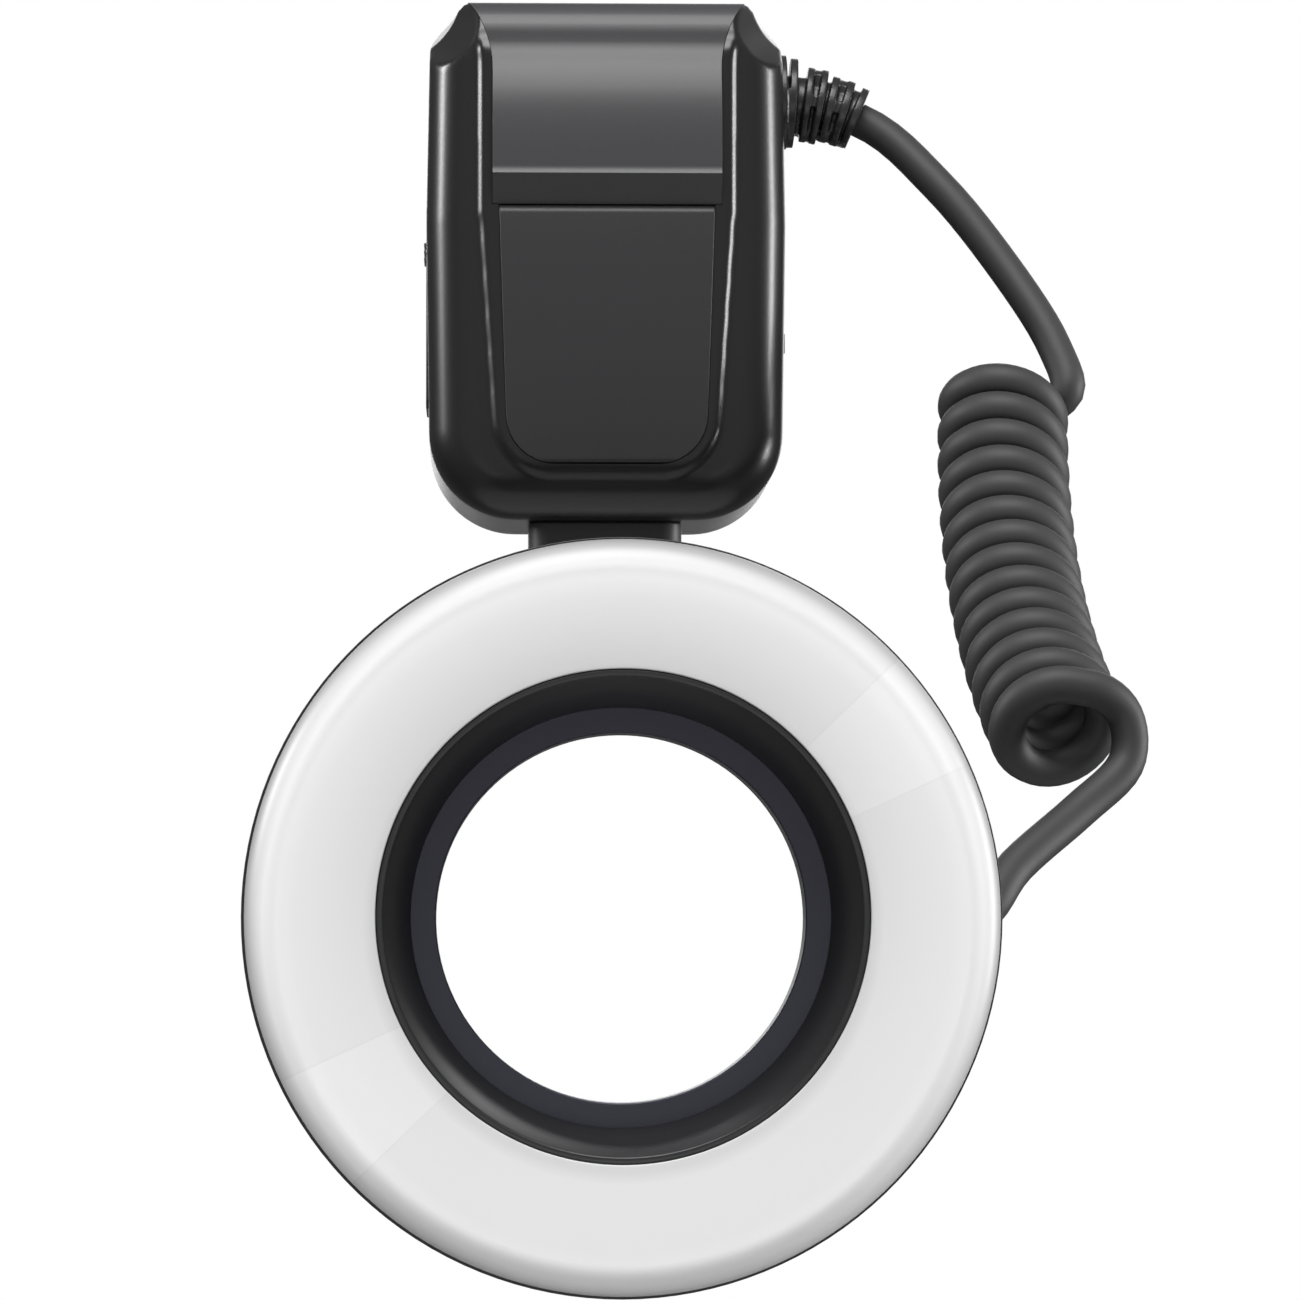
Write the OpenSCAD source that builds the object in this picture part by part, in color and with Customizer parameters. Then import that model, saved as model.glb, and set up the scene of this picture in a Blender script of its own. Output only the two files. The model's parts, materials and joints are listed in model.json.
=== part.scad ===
// Macro ring flash: a control unit on a hot-shoe foot, a curly cord and a ring head on its adapter ring.
// Millimetres. The origin is the middle of the foot's bottom face, the front faces -Y and +Z is up.

/* [Control unit] */
// Widest part of the moulded body
body_w = 70.5; // [66:0.5:76]
// Height of the moulded body
body_h = 101.6; // [98:0.2:108]
// Depth of the moulded body without its panels
body_d = 56; // [54:0.5:64]
// Height of the body's underside above the foot's bottom face
foot_rise = 15.5; // [14:0.5:19]
// Wall of the moulded shells
wall = 2.2; // [1.8:0.1:2.6]
// Rounding of the front and back edges
edge_r = 9; // [6:0.5:10]
// Radius of the bottom corners seen from the front
corner_r = 17; // [14:0.5:20]
// Radius of the shoulders before the coves are cut
shoulder_r = 9; // [7:0.5:12]
// How far the sides draw in above and below the widest line
waist_in = 0.6; // [0.2:0.1:1]
// Height of the widest line above the underside
waist_z = 58; // [50:1:64]
// Radius of the hollow coves in the top corners
cove_r = 14.4; // [13:0.2:15]
// How far out from the side each cove is centred
cove_out = 7.5; // [7:0.1:8]
// How far above the top each cove is centred
cove_up = 8; // [7:0.1:8.4]
// Lean of the coves towards the front
cove_lean = 15; // [8:1:16]
// Plane where the two shells meet
split_y = 11; // [10:0.5:13]

/* [Front panels] */
// Half width of the brow panel
brow_hw = 22.3; // [21.5:0.1:23.5]
// Height over which the brow panel flares towards the top
flare_h = 14.5; // [12:0.5:16]
// Radius of that flare
flare_r = 24; // [22:0.5:30]
// Height of the brow panel's lower edge above the underside
brow_low = 66.2; // [62:0.2:68]
// Height of the sloping step under the brow panel
step_h = 5.4; // [4:0.2:6.6]
// How far the brow panel's lower edge stands off the body's face
brow_rise = 4.6; // [3.6:0.2:5.4]
// How far the brow panel's lower lip turns out
lip = 0.5; // [0.3:0.1:0.7]
// Distance from the top down to the brow panel's steepest line
crown_drop = 11.6; // [11:0.2:12.4]
// Lean of the brow panel at that line
crown_lean = 30; // [24:1:34]
// How far the rounded cap above it lies behind the body's face
cap_in = 0.8; // [0.4:0.1:1.4]
// Rounding of the cap
cap_r = 7.4; // [6.6:0.2:8]
// Depth of the brow panel's block behind the body's face
brow_block = 10; // [9:0.5:12]
// Height of the brow panel's block below the top
brow_block_h = 12.6; // [11.4:0.2:13.4]
// How far the lower panel stands off the body's face
panel_rise = 2; // [1.4:0.1:2.6]
// Half width of the lower panel at its top
panel_top_hw = 21; // [20:0.1:21.4]
// Half width of the lower panel above its bottom corners
panel_low_hw = 19.6; // [18.6:0.1:20]
// Radius of the lower panel's bottom corners
panel_corner_r = 9.5; // [8:0.5:11]
// Height of the lower panel's bottom edge above the underside
panel_low = 10.2; // [9.4:0.2:13]
// Depth of the recess that the panels sit in
panel_recess = 0.8; // [0.5:0.1:1]
// Width of the rail round the panels
rail_w = 1.8; // [1.2:0.1:2]
// How far the rail stands off the body's face
rail_rise = 1.3; // [0.8:0.1:1.4]

/* [Back controls] */
// Width of the display window
lcd_w = 48; // [44:0.5:49]
// Height of the display window's lower edge above the underside
lcd_low = 61; // [60.5:0.5:66]
// Distance of the display window's upper edge below the top
lcd_top = 8.6; // [8:0.2:12]
// Border of the window outside the opening
lcd_border = 2.5; // [1.6:0.1:3.5]
// Thickness of the display module
lcd_t = 4.4; // [3:0.1:5]
// Radius of the control dial
dial_r = 13.5; // [12:0.5:14]
// Height of the dial's middle above the underside
dial_z = 32; // [31:0.5:33]
// Thickness of the dial outside the body
dial_t = 3.6; // [2.6:0.2:5]
// Radius of the dial's hub in the wall
dial_hub_r = 9; // [8.4:0.1:9.4]
// Grips round the dial
dial_grips = 30; // [20:1:36]
// Radius of the set button
set_r = 4.8; // [4.2:0.1:5]
// Wall of the sleeve between the set button and the dial
sleeve_t = 2.3; // [2.2:0.1:2.6]
// Width of a function key
fkey_w = 9; // [7:0.2:9.4]
// Height of a function key
fkey_h = 4.2; // [3.4:0.1:4.8]
// Spacing of the function keys
fkey_pitch = 12; // [12:0.1:12.6]
// Height of the function keys above the underside
fkey_z = 54; // [53.5:0.1:54.4]
// Width of a side key
skey_w = 6.6; // [6:0.1:6.8]
// Height of a side key
skey_h = 5.6; // [4.6:0.1:5.8]
// Distance of the side keys from the middle
skey_x = 21; // [20.4:0.1:21.2]
// Height of the upper side keys above the dial's middle
skey_up = 7.4; // [7.2:0.1:7.8]
// Radius of the test button
test_r = 3.2; // [2.6:0.1:3.4]
// How far the keys stand out of the body
key_rise = 1.2; // [0.8:0.1:1.8]
// Travel of the keys
key_travel = 0.8; // [0.4:0.1:1]
// Width of the power switch's knob
power_w = 6; // [5:0.2:7]
// Height of the power switch's knob
power_h = 3.6; // [3:0.1:4.2]
// Travel of the power switch
power_travel = 6; // [4:0.5:7]
// Height of the power switch above the underside
power_z = 12.6; // [12.2:0.1:13]

/* [Boards and power] */
// Distance of the main board's side edges from the body's sides
board_side = 5; // [4.6:0.1:5.6]
// Height of the main board's lower edge above the underside
board_low = 20; // [18:0.5:24]
// Distance of the main board's upper edge below the top
board_top = 12.6; // [11:0.2:15]
// Thickness of the circuit boards
board_t = 1.6; // [1:0.1:2]
// Plane of the main board's front face
board_y = 7.2; // [7:0.1:8]
// Distance of the main board's screws from its side edges
board_screw_in = 2.4; // [2:0.1:2.8]
// Radius of the flash capacitor
cap_body_r = 9.5; // [8:0.5:10]
// Distance of the flash capacitor's middle below the top
cap_drop = 19.6; // [18.6:0.2:20.4]
// Side of the boost transformer
coil_side = 13; // [11:0.5:15]
// Length of the battery pack
batt_l = 52; // [46:0.5:56]
// Depth of the battery pack
batt_d = 21; // [18:0.5:22]
// Height of the battery pack
batt_h = 40; // [36:0.5:41]
// Height of the battery pack above the underside
batt_low = 22; // [21.5:0.5:23]
// Plane of the battery pack's middle
batt_y = -6.5; // [-8:0.1:-6]
// Wall of the battery tray
tray_t = 1.2; // [0.8:0.1:1.4]
// Space for the contacts at the end of the tray
tray_end = 1.4; // [1.2:0.1:1.8]
// Width of the port cover
port_w = 11; // [10:0.5:13]
// Height of the port cover
port_h = 20; // [18:0.5:24]
// Thickness of the port cover
port_t = 1.6; // [1.2:0.1:2]
// Height of the port cover's middle above the underside
port_z = 36; // [34:0.5:40]
// Plane of the port cover's middle
port_y = -3; // [-5:0.5:0]
// Depth of the socket block
socket_d = 8; // [6:0.5:10]

/* [Hot shoe] */
// Width of the foot's plate
plate_w = 18.6; // [18.4:0.1:18.7]
// Length of the foot's plate
plate_l = 18; // [17:0.2:18.4]
// Thickness of the foot's plate
plate_t = 2; // [1.9:0.05:2.1]
// Radius of the neck above the plate
neck_r = 5; // [4.4:0.1:5.2]
// Clear height for the shoe's rails
rail_gap = 2.8; // [2.2:0.1:3.2]
// Thickness of the lock lever
lever_t = 4; // [3.4:0.1:4.4]
// Radius of the lock lever's disc
lever_r = 13; // [11:0.5:14]
// Reach of the lock lever's arm
lever_reach = 28; // [22:0.5:30]
// Width of the lock lever's arm
lever_w = 9; // [6:0.5:11]
// Width of the foot block
block_w = 30; // [27:0.5:31]
// Length of the foot block
block_l = 32; // [29:0.5:34]
// Radius of the lock pin
pin_r = 1; // [0.8:0.05:1.1]
// Distance of the lock pin in front of the middle
pin_y = 7.4; // [7.2:0.1:7.6]
// How far the lock pin stands out when locked
pin_out = 1.2; // [0.8:0.1:1.4]
// Radius of the data contacts
contact_r = 1; // [0.8:0.1:1.1]
// How far the contacts stand out
contact_out = 0.4; // [0.2:0.1:0.6]

/* [Ring head] */
// Outer diameter of the ring head
ring_od = 131; // [128:0.5:136]
// Depth of the ring head
ring_depth = 27; // [26:0.5:32]
// How far the lens axis lies below the foot's bottom face
ring_drop = 64; // [60:1:72]
// How far the diffuser's front lies ahead of the foot's middle
ring_reach = 170; // [165:1:176]
// Black rim that shows round the diffuser
rim = 0.7; // [0.4:0.1:1]
// Height of the case's rim above the rear face
rim_z = 17; // [16:0.2:18]
// Height of the straight band under the rim
rim_band = 2; // [1.4:0.2:3]
// How far the case tapers in, from the rim to its rear edge
case_taper = 6.5; // [6:0.1:7]
// Wall of the head's mouldings
case_t = 1.8; // [1.6:0.1:2.1]
// Radius of the diffuser's opening
bore_r = 42.3; // [42:0.1:43.5]
// Radius of the hood's rear lip
lip_r = 36.4; // [35.6:0.1:37.5]
// Thickness of the hood
hood_t = 1.2; // [1:0.1:1.5]
// Thickness of the diffuser
diff_t = 2; // [1.6:0.1:2.4]
// Rounding of the diffuser's outer edge
diff_r = 5.5; // [4.5:0.1:6]
// How far the diffuser's face slopes in towards the opening
diff_dish = 0.8; // [0.2:0.1:1.4]
// Radius of the flash tubes
tube_r = 2.6; // [2:0.1:3]
// Direction of the lamp chambers
lamp_a = 34; // [25:1:40]
// Angle of each lamp chamber
lamp_span = 20; // [18:1:26]
// Angle of a tube socket
socket_span = 4; // [3:0.5:5]
// Radius of a focus lamp
lamp_r = 2.5; // [2:0.1:2.7]

/* [Adapter and latches] */
// Radius of the lens thread
thread_r = 33.5; // [33.4:0.05:33.6]
// Length of the lens thread
thread_l = 4.2; // [3.5:0.1:5]
// Radius of the adapter ring's clear opening
adapter_in_r = 32.1; // [31:0.1:32.4]
// Radius of the adapter ring's flange
adapter_r = 40; // [39.6:0.1:40.2]
// Depth of the groove round the flange
groove_d = 1.4; // [1.2:0.1:1.8]
// Height of the flange's rear lip
flange_low = 1.5; // [1.2:0.1:2]
// Thickness of a latch plate
latch_t = 1.2; // [1:0.1:1.4]
// Room between a latch plate's ring and the case
latch_room = 5.6; // [5.2:0.1:6.6]
// How far a latch plate reaches into the groove
latch_bite = 0.9; // [0.7:0.05:1]
// Travel of a release button
release_travel = 2.2; // [1.9:0.1:2.3]
// Width of a release button
release_w = 16; // [14:0.5:18]
// Thickness of the rear cover
cover_t = 2.5; // [2.2:0.1:3]
// Radius of the cord's boss on the rear cover
boss_r = 8; // [7:0.1:8]
// Height of the cord's boss
boss_h = 12.5; // [11.5:0.5:14]
// Direction of the boss seen from the front
boss_a = -13; // [-16:1:-12]
// Direction that the cord leaves the boss in
gland_a = 36; // [32:1:40]

/* [Cord] */
// Diameter of the cord
cord_d = 6.8; // [6:0.1:6.9]
// Radius of the curls, to the cord's middle
curl_r = 9.3; // [8.6:0.1:9.6]
// Number of curls
curls = 14; // [10:1:14]
// Distance of the unit's cord relief below the top
relief_drop = 16.5; // [15.8:0.1:17]
// Angle through which the unit's relief bends down
relief_bend = 23; // [20:1:32]
// Length of the unit's relief
relief_l = 17; // [15:0.5:20]
// Radius of the relief's flange
relief_r = 9.4; // [8.6:0.1:9.6]
// Length of the head's relief
gland_l = 12; // [10:0.5:13]

/* [Fits] */
// Clearance between pieces that move past each other
gap = 0.3; // [0.2:0.05:0.35]
// Radial clearance of turning and sliding fits
run = 0.06; // [0.03:0.01:0.1]
// Clearance round pieces that are set in a recess
seat = 0.1; // [0.05:0.01:0.15]

/* [Hidden] */
$fn = 64;
form_fn = 32;
eps = 0.02;

half = body_w / 2;
z0 = foot_rise;
z1 = foot_rise + body_h;
face_y = -body_d / 2;
back_y = body_d / 2;
inner_y = back_y - wall;
side_hw = half - waist_in;

// Panels
brow_z = z0 + brow_low;
panel_top_z = brow_z - step_h;
panel_low_z = z0 + panel_low;
crown_z = z1 - crown_drop;
crown_reach = 3;
lip_h = 1.8;
panel_proud = 0.7;
panel_bulge = [1.1, 14];
block_low_z = z1 - brow_block_h;
recess_y = face_y + panel_recess;

// Back controls
key_flange = 1;
key_flange_t = 1.2;
key_seat_y = inner_y - seat;
dome_h = 1.2;
dome_r = 2;
key_board_y = inner_y - seat - key_flange_t - key_travel - gap - dome_h;
key_board_edge = 1.5;
key_board_low = z0 + dial_z - dial_r - seat;
key_board_top = z0 + fkey_z + fkey_h / 2 + key_board_edge;
key_corner = 1;
key_post_r = 1.4;
key_posts = [[14, key_board_low + 1.6], [skey_x, z0 + fkey_z - 7]];
lcd_h = body_h - lcd_low - lcd_top;
lcd_mid = z0 + lcd_low + lcd_h / 2;
lcd_recess = 1;
lcd_proud = 0.4;
lcd_margin = 1;
dial_mid = z0 + dial_z;
sleeve_r = set_r + run + sleeve_t;
sleeve_top = back_y + dial_t;
encoder_r = 11.4;
encoder_t = 1.4;
grip_r = 0.9;
dial_lip = 1.2;
dial_lip_t = 1;
dial_chamfer = 0.8;
set_rise = 0.8;
lamp_dot_r = 1;
power_slot_gap = 0.4;

// Screws and bosses
shell_screw_x = 22;
shell_screw_z = z0 + 13.6;
boss_wall_r = 3.2;
screw_r = 1.3;
screw_head_r = 2.4;
screw_head_t = 1.4;
board_boss_r = 2.2;
board_screw_r = 1;
board_head_r = 2;
board_head_t = 1.2;
board_screw_l = 5;
board_screw_drop = 4;
board_hw = half - board_side;
board_h = body_h - board_low - board_top;
board_screw_x = board_hw - board_screw_in;
board_screw_low = dial_mid;
board_screw_top = z1 - board_top - board_screw_drop;
key_board_hw = board_screw_x - board_boss_r - gap;

// Power
board_low_z = z0 + board_low;
cap_z = z1 - cap_drop;
cap_end = 1;
cap_bevel = 1.2;
cap_x = board_head_r + gap - board_screw_x;
transformer_x = -cap_x - coil_side;
cap_body_l = transformer_x - gap - cap_end - cap_x;
transformer_plate = 3;
transformer_z = z1 - board_top - coil_side - transformer_plate;
tray_x1 = -half + batt_l + tray_end + tray_t;
batt_low_z = z0 + batt_low;
batt_grip_d = 0.8;
batt_latch_w = 13;
batt_latch_h = 5;
batt_latch_t = 1.2;
batt_latch_travel = 2;
batt_latch_z = batt_low_z + batt_h - 11;
contact_blade_t = 0.8;
port_mid = z0 + port_z;
port_face_x = half - 0.2;
port_knuckle_r = port_t / 2;
port_knuckle_gap = 0.4;
port_hinge = [port_face_x - port_knuckle_r, port_y + port_w / 2];
usb_w = 8.4;
usb_h = 2.8;
jack_r = 1.8;

// Foot
lever_z = plate_t + rail_gap;
lever_room = pin_out + gap + 0.6;
pin_top = lever_z + 0.5;
block_z = lever_z + lever_t + gap;
contact_row = 5.6;
contact_pitch = 4.2;
contact_depth = 1.2;
centre_contact_r = 1.5;

// Ring head, along the lens axis from the rear face towards the front
ring_rear = ring_reach - ring_depth;
ring_r = ring_od / 2;
diff_r_out = ring_r - rim;
case_rear_r = ring_r - case_taper;
rear_plate_z = cover_t + gap;
plate_a_z = rear_plate_z;
plate_b_z = plate_a_z + latch_t + gap;
part_z = plate_b_z + latch_t + gap;
part_top = part_z + case_t;
hood_base_z = part_top + seat;
part_in_r = adapter_r + 3.4;
hood_base_r = part_in_r + 3.6;
board_margin = 5;
board_in_r = hood_base_r + 0.5;
board_out_r = ring_r - board_margin;
head_board_z = part_top + seat;
chamber_r = case_rear_r - case_t;
cover_r = chamber_r - seat;
cover_in_r = adapter_r + 0.5;
reflector_t = 0.8;
reflector_z = head_board_z + board_t + 2.4;
reflector_in = board_in_r - 0.6;
reflector_out = diff_r_out - diff_t - 1.2;
reflector_room = reflector_out - reflector_in - 2 * (reflector_t + lamp_r + gap);
reflector_lean_in = 0.28 * reflector_room;
reflector_lean_out = 0.43 * reflector_room;
tube_circle = (reflector_in + reflector_out - reflector_lean_out) / 2;
tube_z = reflector_z + reflector_t + tube_r + 1.6;
socket_wall = 0.3;
socket_top = tube_z + tube_r + 1;
socket_in = tube_circle - tube_r - socket_wall;
socket_out = tube_circle + tube_r + socket_wall;
lamp_h = 3;
adapter_front = hood_base_z - gap;
groove_z0 = plate_a_z - gap;
groove_z1 = plate_b_z + latch_t + gap;
flange_z = groove_z0 - flange_low;
latch_open_r = adapter_r + release_travel / 2 - latch_bite / 2 + 0.15;
latch_shift = latch_open_r - (adapter_r - latch_bite);
latch_out_r = chamber_r - latch_shift - latch_room;
arm_hw = 5;
button_x = chamber_r + 1.8;
button_out = ring_r - 1.2;
button_z0 = rear_plate_z;
button_z1 = part_z + 0.8;
spring_r = 1.3;
spring_y = 6.6;
spring_post_t = 1;
spring_x = button_x - 4.4;
head_screw_circle = chamber_r - 2.4;
head_post_r = 1.9;
head_screw_r = 1;
boss_circle = (cover_in_r + cover_r) / 2;
boss_flat = boss_r - 1;
gland_mid = boss_h / 2 + 0.2;

// Reliefs
relief_start_x = half - 1.2;
relief_arc_r = relief_l * 180 / (PI * relief_bend);
relief_core_r = cord_d / 2 + 1.9;
relief_in_r = 6.4;
relief_in_l = 2;
relief_world_z = z1 - relief_drop;
// Each rib's place along the relief, its thickness and how much smaller it is than the flange
relief_ribs = [[0, 2.2, 0], [2.6, 1.5, 0.5], [5.7, 1.3, 1.9], [8.2, 1.3, 1.9], [10.2, 1.5, 2.7], [13, 1.5, 2.7]];
// The same for the bars that join the ribs in pairs
relief_bars = [[6.4, 2.4, 2.2], [11, 2.7, 3]];
relief_bar_w = 8.4;
relief_web = 2.4;
// Start and length of the keels that join the pairs underneath
relief_keels = [[3.4, 2.9], [8.9, 2], [13.8, 2.4]];
relief_keel_r = 6.2;
relief_keel_w = 5;
relief_tip_l = 1.5;
relief_tip_in = 3.1;

// Cord route, in round numbers
lead_mid = [[66, -8, 83], [79, -16, 65], [87.5, -25, 49]];
curl_axis = [[77, -30, 39], [73, -62, -4], [80, -113, -30]];
tail_mid = [[90, -114, -36], [80, -121, -45], [70, -130, -54]];
curl_start_a = 40;
curl_end_a = -40;
curl_rings = 8;
curl_sides = 6;
route_sides = 8;
route_steps = 2;

// Vector helpers
function unit(v) = v / norm(v);
function square_to(v, t) = unit(v - t * (v * t));

// Points of an arc in a plane
function arc(x, y, r, a0, a1, n) =
    [for (i = [0:n]) let (a = a0 + (a1 - a0) * i / n) [x + r * cos(a), y + r * sin(a)]];

// Points of a quadratic curve, without its first point
function bend(p, q, r, n) =
    [for (i = [1:n]) let (t = i / n) p * (1 - t) * (1 - t) + q * 2 * t * (1 - t) + r * t * t];

// Extrusions along the part's own axes
module along_x(w) {
    rotate([90, 0, 90]) linear_extrude(w, center = true) children();
}

module along_y(y_low, y_high) {
    translate([0, y_high, 0]) rotate([90, 0, 0]) linear_extrude(y_high - y_low) children();
}

// Cylinder whose base is at p, along X or along Y
module rod_x(p, r, l) {
    translate(p) rotate([0, 90, 0]) cylinder(r = r, h = l);
}

module rod_y(p, r, l) {
    translate(p) rotate([-90, 0, 0]) cylinder(r = r, h = l);
}

// Box between two corners
module span_box(a, b) {
    translate(a) cube(b - a);
}

// Rectangle with round corners
module round_rect(w, h, r) {
    square([w, h - 2 * r], center = true);
    square([w - 2 * r, h], center = true);
    for (x = [-1, 1], y = [-1, 1]) translate([x * (w / 2 - r), y * (h / 2 - r)]) circle(r, $fn = 24);
}

// Disc with round edges, lying across Y
module pebble(x, z, r, g) {
    pr = r - g;
    pd = body_d / 2 - g;
    pe = min(edge_r - g, pr);
    translate([x, 0, z]) rotate([90, 0, 0]) rotate_extrude($fn = form_fn * 1.5)
        polygon(concat([[0, -pd]], arc(pr - pe, pe - pd, pe, -90, 0, form_fn / 4),
            arc(pr - pe, pd - pe, pe, 0, 90, form_fn / 4), [[0, pd]]));
}

// Outer form of the control unit, drawn in by g
module body_form(g) {
    hull() for (s = [-1, 1]) {
        pebble(s * (side_hw - corner_r), z0 + corner_r, corner_r, g);
        pebble(s * (half - shoulder_r), z0 + waist_z, shoulder_r, g);
        pebble(s * (side_hw - shoulder_r), z1 - shoulder_r, shoulder_r, g);
    }
}

module coves(g) {
    for (s = [-1, 1], lean = [0, cove_lean]) translate([s * (half + cove_out), 0, z1 + cove_up])
        rotate([lean, 0, 0]) rod_y([0, -body_d, 0], cove_r + g, 2 * body_d);
}

module moulded(y_low, y_high) {
    difference() {
        intersection() {
            body_form(0);
            span_box([-body_w, y_low, 0], [body_w, y_high, z1 + 1]);
        }
        coves(0);
        difference() {
            body_form(wall);
            coves(wall);
        }
    }
}

// Front panels
module brow_outline(g) {
    a = asin(flare_h / flare_r);
    side = arc(brow_hw + flare_r + g, z1 - flare_h, flare_r, 180, 180 - a, 8);
    left = [for (i = [8:-1:0]) [-side[i][0], side[i][1]]];
    polygon(concat([[brow_hw + g, panel_top_z - g]], side, left, [[-brow_hw - g, panel_top_z - g]]));
}

module panel_outline(g, top_hw = panel_top_hw) {
    r = panel_corner_r + g;
    x = panel_low_hw + g - r;
    z = panel_low_z - g + r;
    polygon(concat([[top_hw + g, panel_top_z], [-top_hw - g, panel_top_z]],
        arc(-x, z, r, 180, 270, 8), arc(x, z, r, 270, 360, 8)));
}

module brow_profile() {
    cap_y = face_y + cap_in;
    cap_low = [cap_y, z1 - cap_r];
    turn = (cap_low[1] - crown_z) / 2;
    crown = [cap_y - turn * tan(crown_lean), crown_z];
    swell = crown - crown_reach * [tan(crown_lean), 1];
    edge = [face_y - brow_rise, brow_z + lip_h];
    middle = [edge[0], (crown_z + brow_z) / 2];
    tip = [edge[0] - lip, brow_z + 0.2];
    foot = [face_y - panel_rise + panel_proud, panel_top_z];
    polygon(concat([[face_y + brow_block, z1]], arc(cap_y + cap_r, z1 - cap_r, cap_r, 90, 180, 10),
        bend(cap_low, [cap_y, crown_z + turn], crown, 6), bend(crown, swell, (swell + middle) / 2, 8),
        bend((swell + middle) / 2, middle, edge, 6), bend(edge, [edge[0], (edge[1] + tip[1]) / 2], tip, 4),
        [[tip[0] + 0.2, brow_z], foot, [recess_y, panel_top_z], [recess_y, block_low_z],
            [face_y + brow_block, block_low_z]]));
}

module brow_panel() {
    color("#3a3a3d") intersection() {
        along_x(body_w) brow_profile();
        along_y(-body_d, 0) brow_outline(0);
    }
}

module lower_panel() {
    top = [face_y - panel_rise, panel_top_z - seat];
    low = [face_y - panel_rise + 0.5, panel_low_z + 1];
    color("#1c1c1e") intersection() {
        along_x(body_w) polygon(concat([[recess_y, top[1]], top],
            bend(top, top - panel_bulge, low, 8),
            bend(low, [low[0], panel_low_z], [low[0] + 1, panel_low_z], 3), [[recess_y, panel_low_z]]));
        along_y(-body_d, 0) panel_outline(0);
    }
}

// Raised rail that frames both panels
module rail_profile() {
    low = panel_low_z - rail_w;
    front = face_y - rail_rise;
    top = [face_y + cap_in + cap_r, z1];
    polygon(concat([[face_y + wall, low], [front + rail_rise / 2, low]],
        bend([front + rail_rise / 2, low], [front, low + rail_rise / 2], [front, low + 4 * rail_rise], 4),
        bend([front, crown_z], [front, z1 - cap_r], top, 8), [[top[0] + wall, z1], [face_y + wall, crown_z]]));
}

module rails() {
    difference() {
        intersection() {
            along_x(body_w) rail_profile();
            along_y(-body_d, 0) union() {
                brow_outline(rail_w);
                panel_outline(rail_w, brow_hw);
            }
        }
        coves(0);
    }
}

module panel_cuts() {
    along_y(-body_d, recess_y) brow_outline(seat);
    along_y(-body_d, recess_y) panel_outline(seat);
    intersection() {
        along_y(-body_d, face_y + brow_block + seat) brow_outline(seat);
        span_box([-half, -body_d, block_low_z - seat], [half, 0, z1 + 1]);
    }
}

// Shells
module shell_bosses(y_low, y_high) {
    for (s = [-1, 1]) rod_y([s * shell_screw_x, y_low, shell_screw_z], boss_wall_r, y_high - y_low);
}

module front_shell() {
    color("#2c2c2e") difference() {
        union() {
            moulded(-body_d, split_y);
            rails();
            shell_bosses(face_y + wall / 2, split_y);
        }
        panel_cuts();
        span_box([-body_w, batt_y - batt_d / 2 - gap, batt_low_z - gap],
            [-half + corner_r / 2, batt_y + batt_d / 2 + gap, batt_low_z + batt_h + gap]);
        span_box([half - 2 * wall, port_y - port_w / 2 - gap, port_mid - port_h / 2 - gap],
            [body_w, port_y + port_w / 2 + gap, port_mid + port_h / 2 + gap]);
        translate([port_hinge[0], port_hinge[1], port_mid - port_h / 2 - gap])
            cylinder(r = port_knuckle_r + port_knuckle_gap, h = port_h + 2 * gap);
        rod_x([half - 2 * wall - 1, 0, relief_world_z], relief_in_r + seat, body_w);
        rod_x([relief_start_x, 0, relief_world_z], relief_r + seat, body_w);
        for (s = [-1, 1])
            rod_y([s * shell_screw_x, split_y - 9, shell_screw_z], screw_r, 10);
    }
}

module key_hole(x, z, w, h) {
    along_y(inner_y - 1, back_y + 1) translate([x, z]) round_rect(w + 2 * gap, h + 2 * gap, key_corner);
}

module rear_shell() {
    color("#2c2c2e") difference() {
        union() {
            moulded(split_y, body_d);
            shell_bosses(split_y, back_y - wall / 2);
            for (s = [-1, 1], z = [board_screw_low, board_screw_top])
                rod_y([s * board_screw_x, board_y + board_t, z], board_boss_r,
                    inner_y + wall / 2 - board_y - board_t);
            for (s = [-1, 1], p = key_posts)
                rod_y([s * p[0], key_board_y, p[1]], key_post_r, inner_y + wall / 2 - key_board_y);
        }
        along_y(back_y - lcd_recess, body_d) translate([0, lcd_mid])
            square([lcd_w + 2 * seat, lcd_h + 2 * seat], center = true);
        along_y(0, body_d) translate([0, lcd_mid])
            square([lcd_w - 2 * lcd_border, lcd_h - 2 * lcd_border], center = true);
        for (i = [0:3]) key_hole((i - 1.5) * fkey_pitch, z0 + fkey_z, fkey_w, fkey_h);
        for (s = [-1, 1]) key_hole(s * skey_x, dial_mid + skey_up, skey_w, skey_h);
        key_hole(-skey_x, dial_mid - skey_up, skey_w, skey_h);
        rod_y([skey_x, inner_y - 1, dial_mid - skey_up], test_r + gap, wall + 2);
        rod_y([0, inner_y - 1, dial_mid], dial_hub_r + gap, wall + 2);
        along_y(inner_y - 1, back_y + 1) translate([0, z0 + power_z])
            round_rect(power_w + power_travel + 2 * power_slot_gap, power_h + 2 * gap, key_corner);
        for (s = [-1, 1]) {
            rod_y([s * shell_screw_x, split_y - 1, shell_screw_z], screw_r + seat, body_d);
            rod_y([s * shell_screw_x, back_y - screw_head_t - seat, shell_screw_z], screw_head_r + seat, body_d);
            for (z = [board_screw_low, board_screw_top])
                rod_y([s * board_screw_x, board_y - 1, z], board_screw_r, board_screw_l + 2);
        }
    }
}

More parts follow.
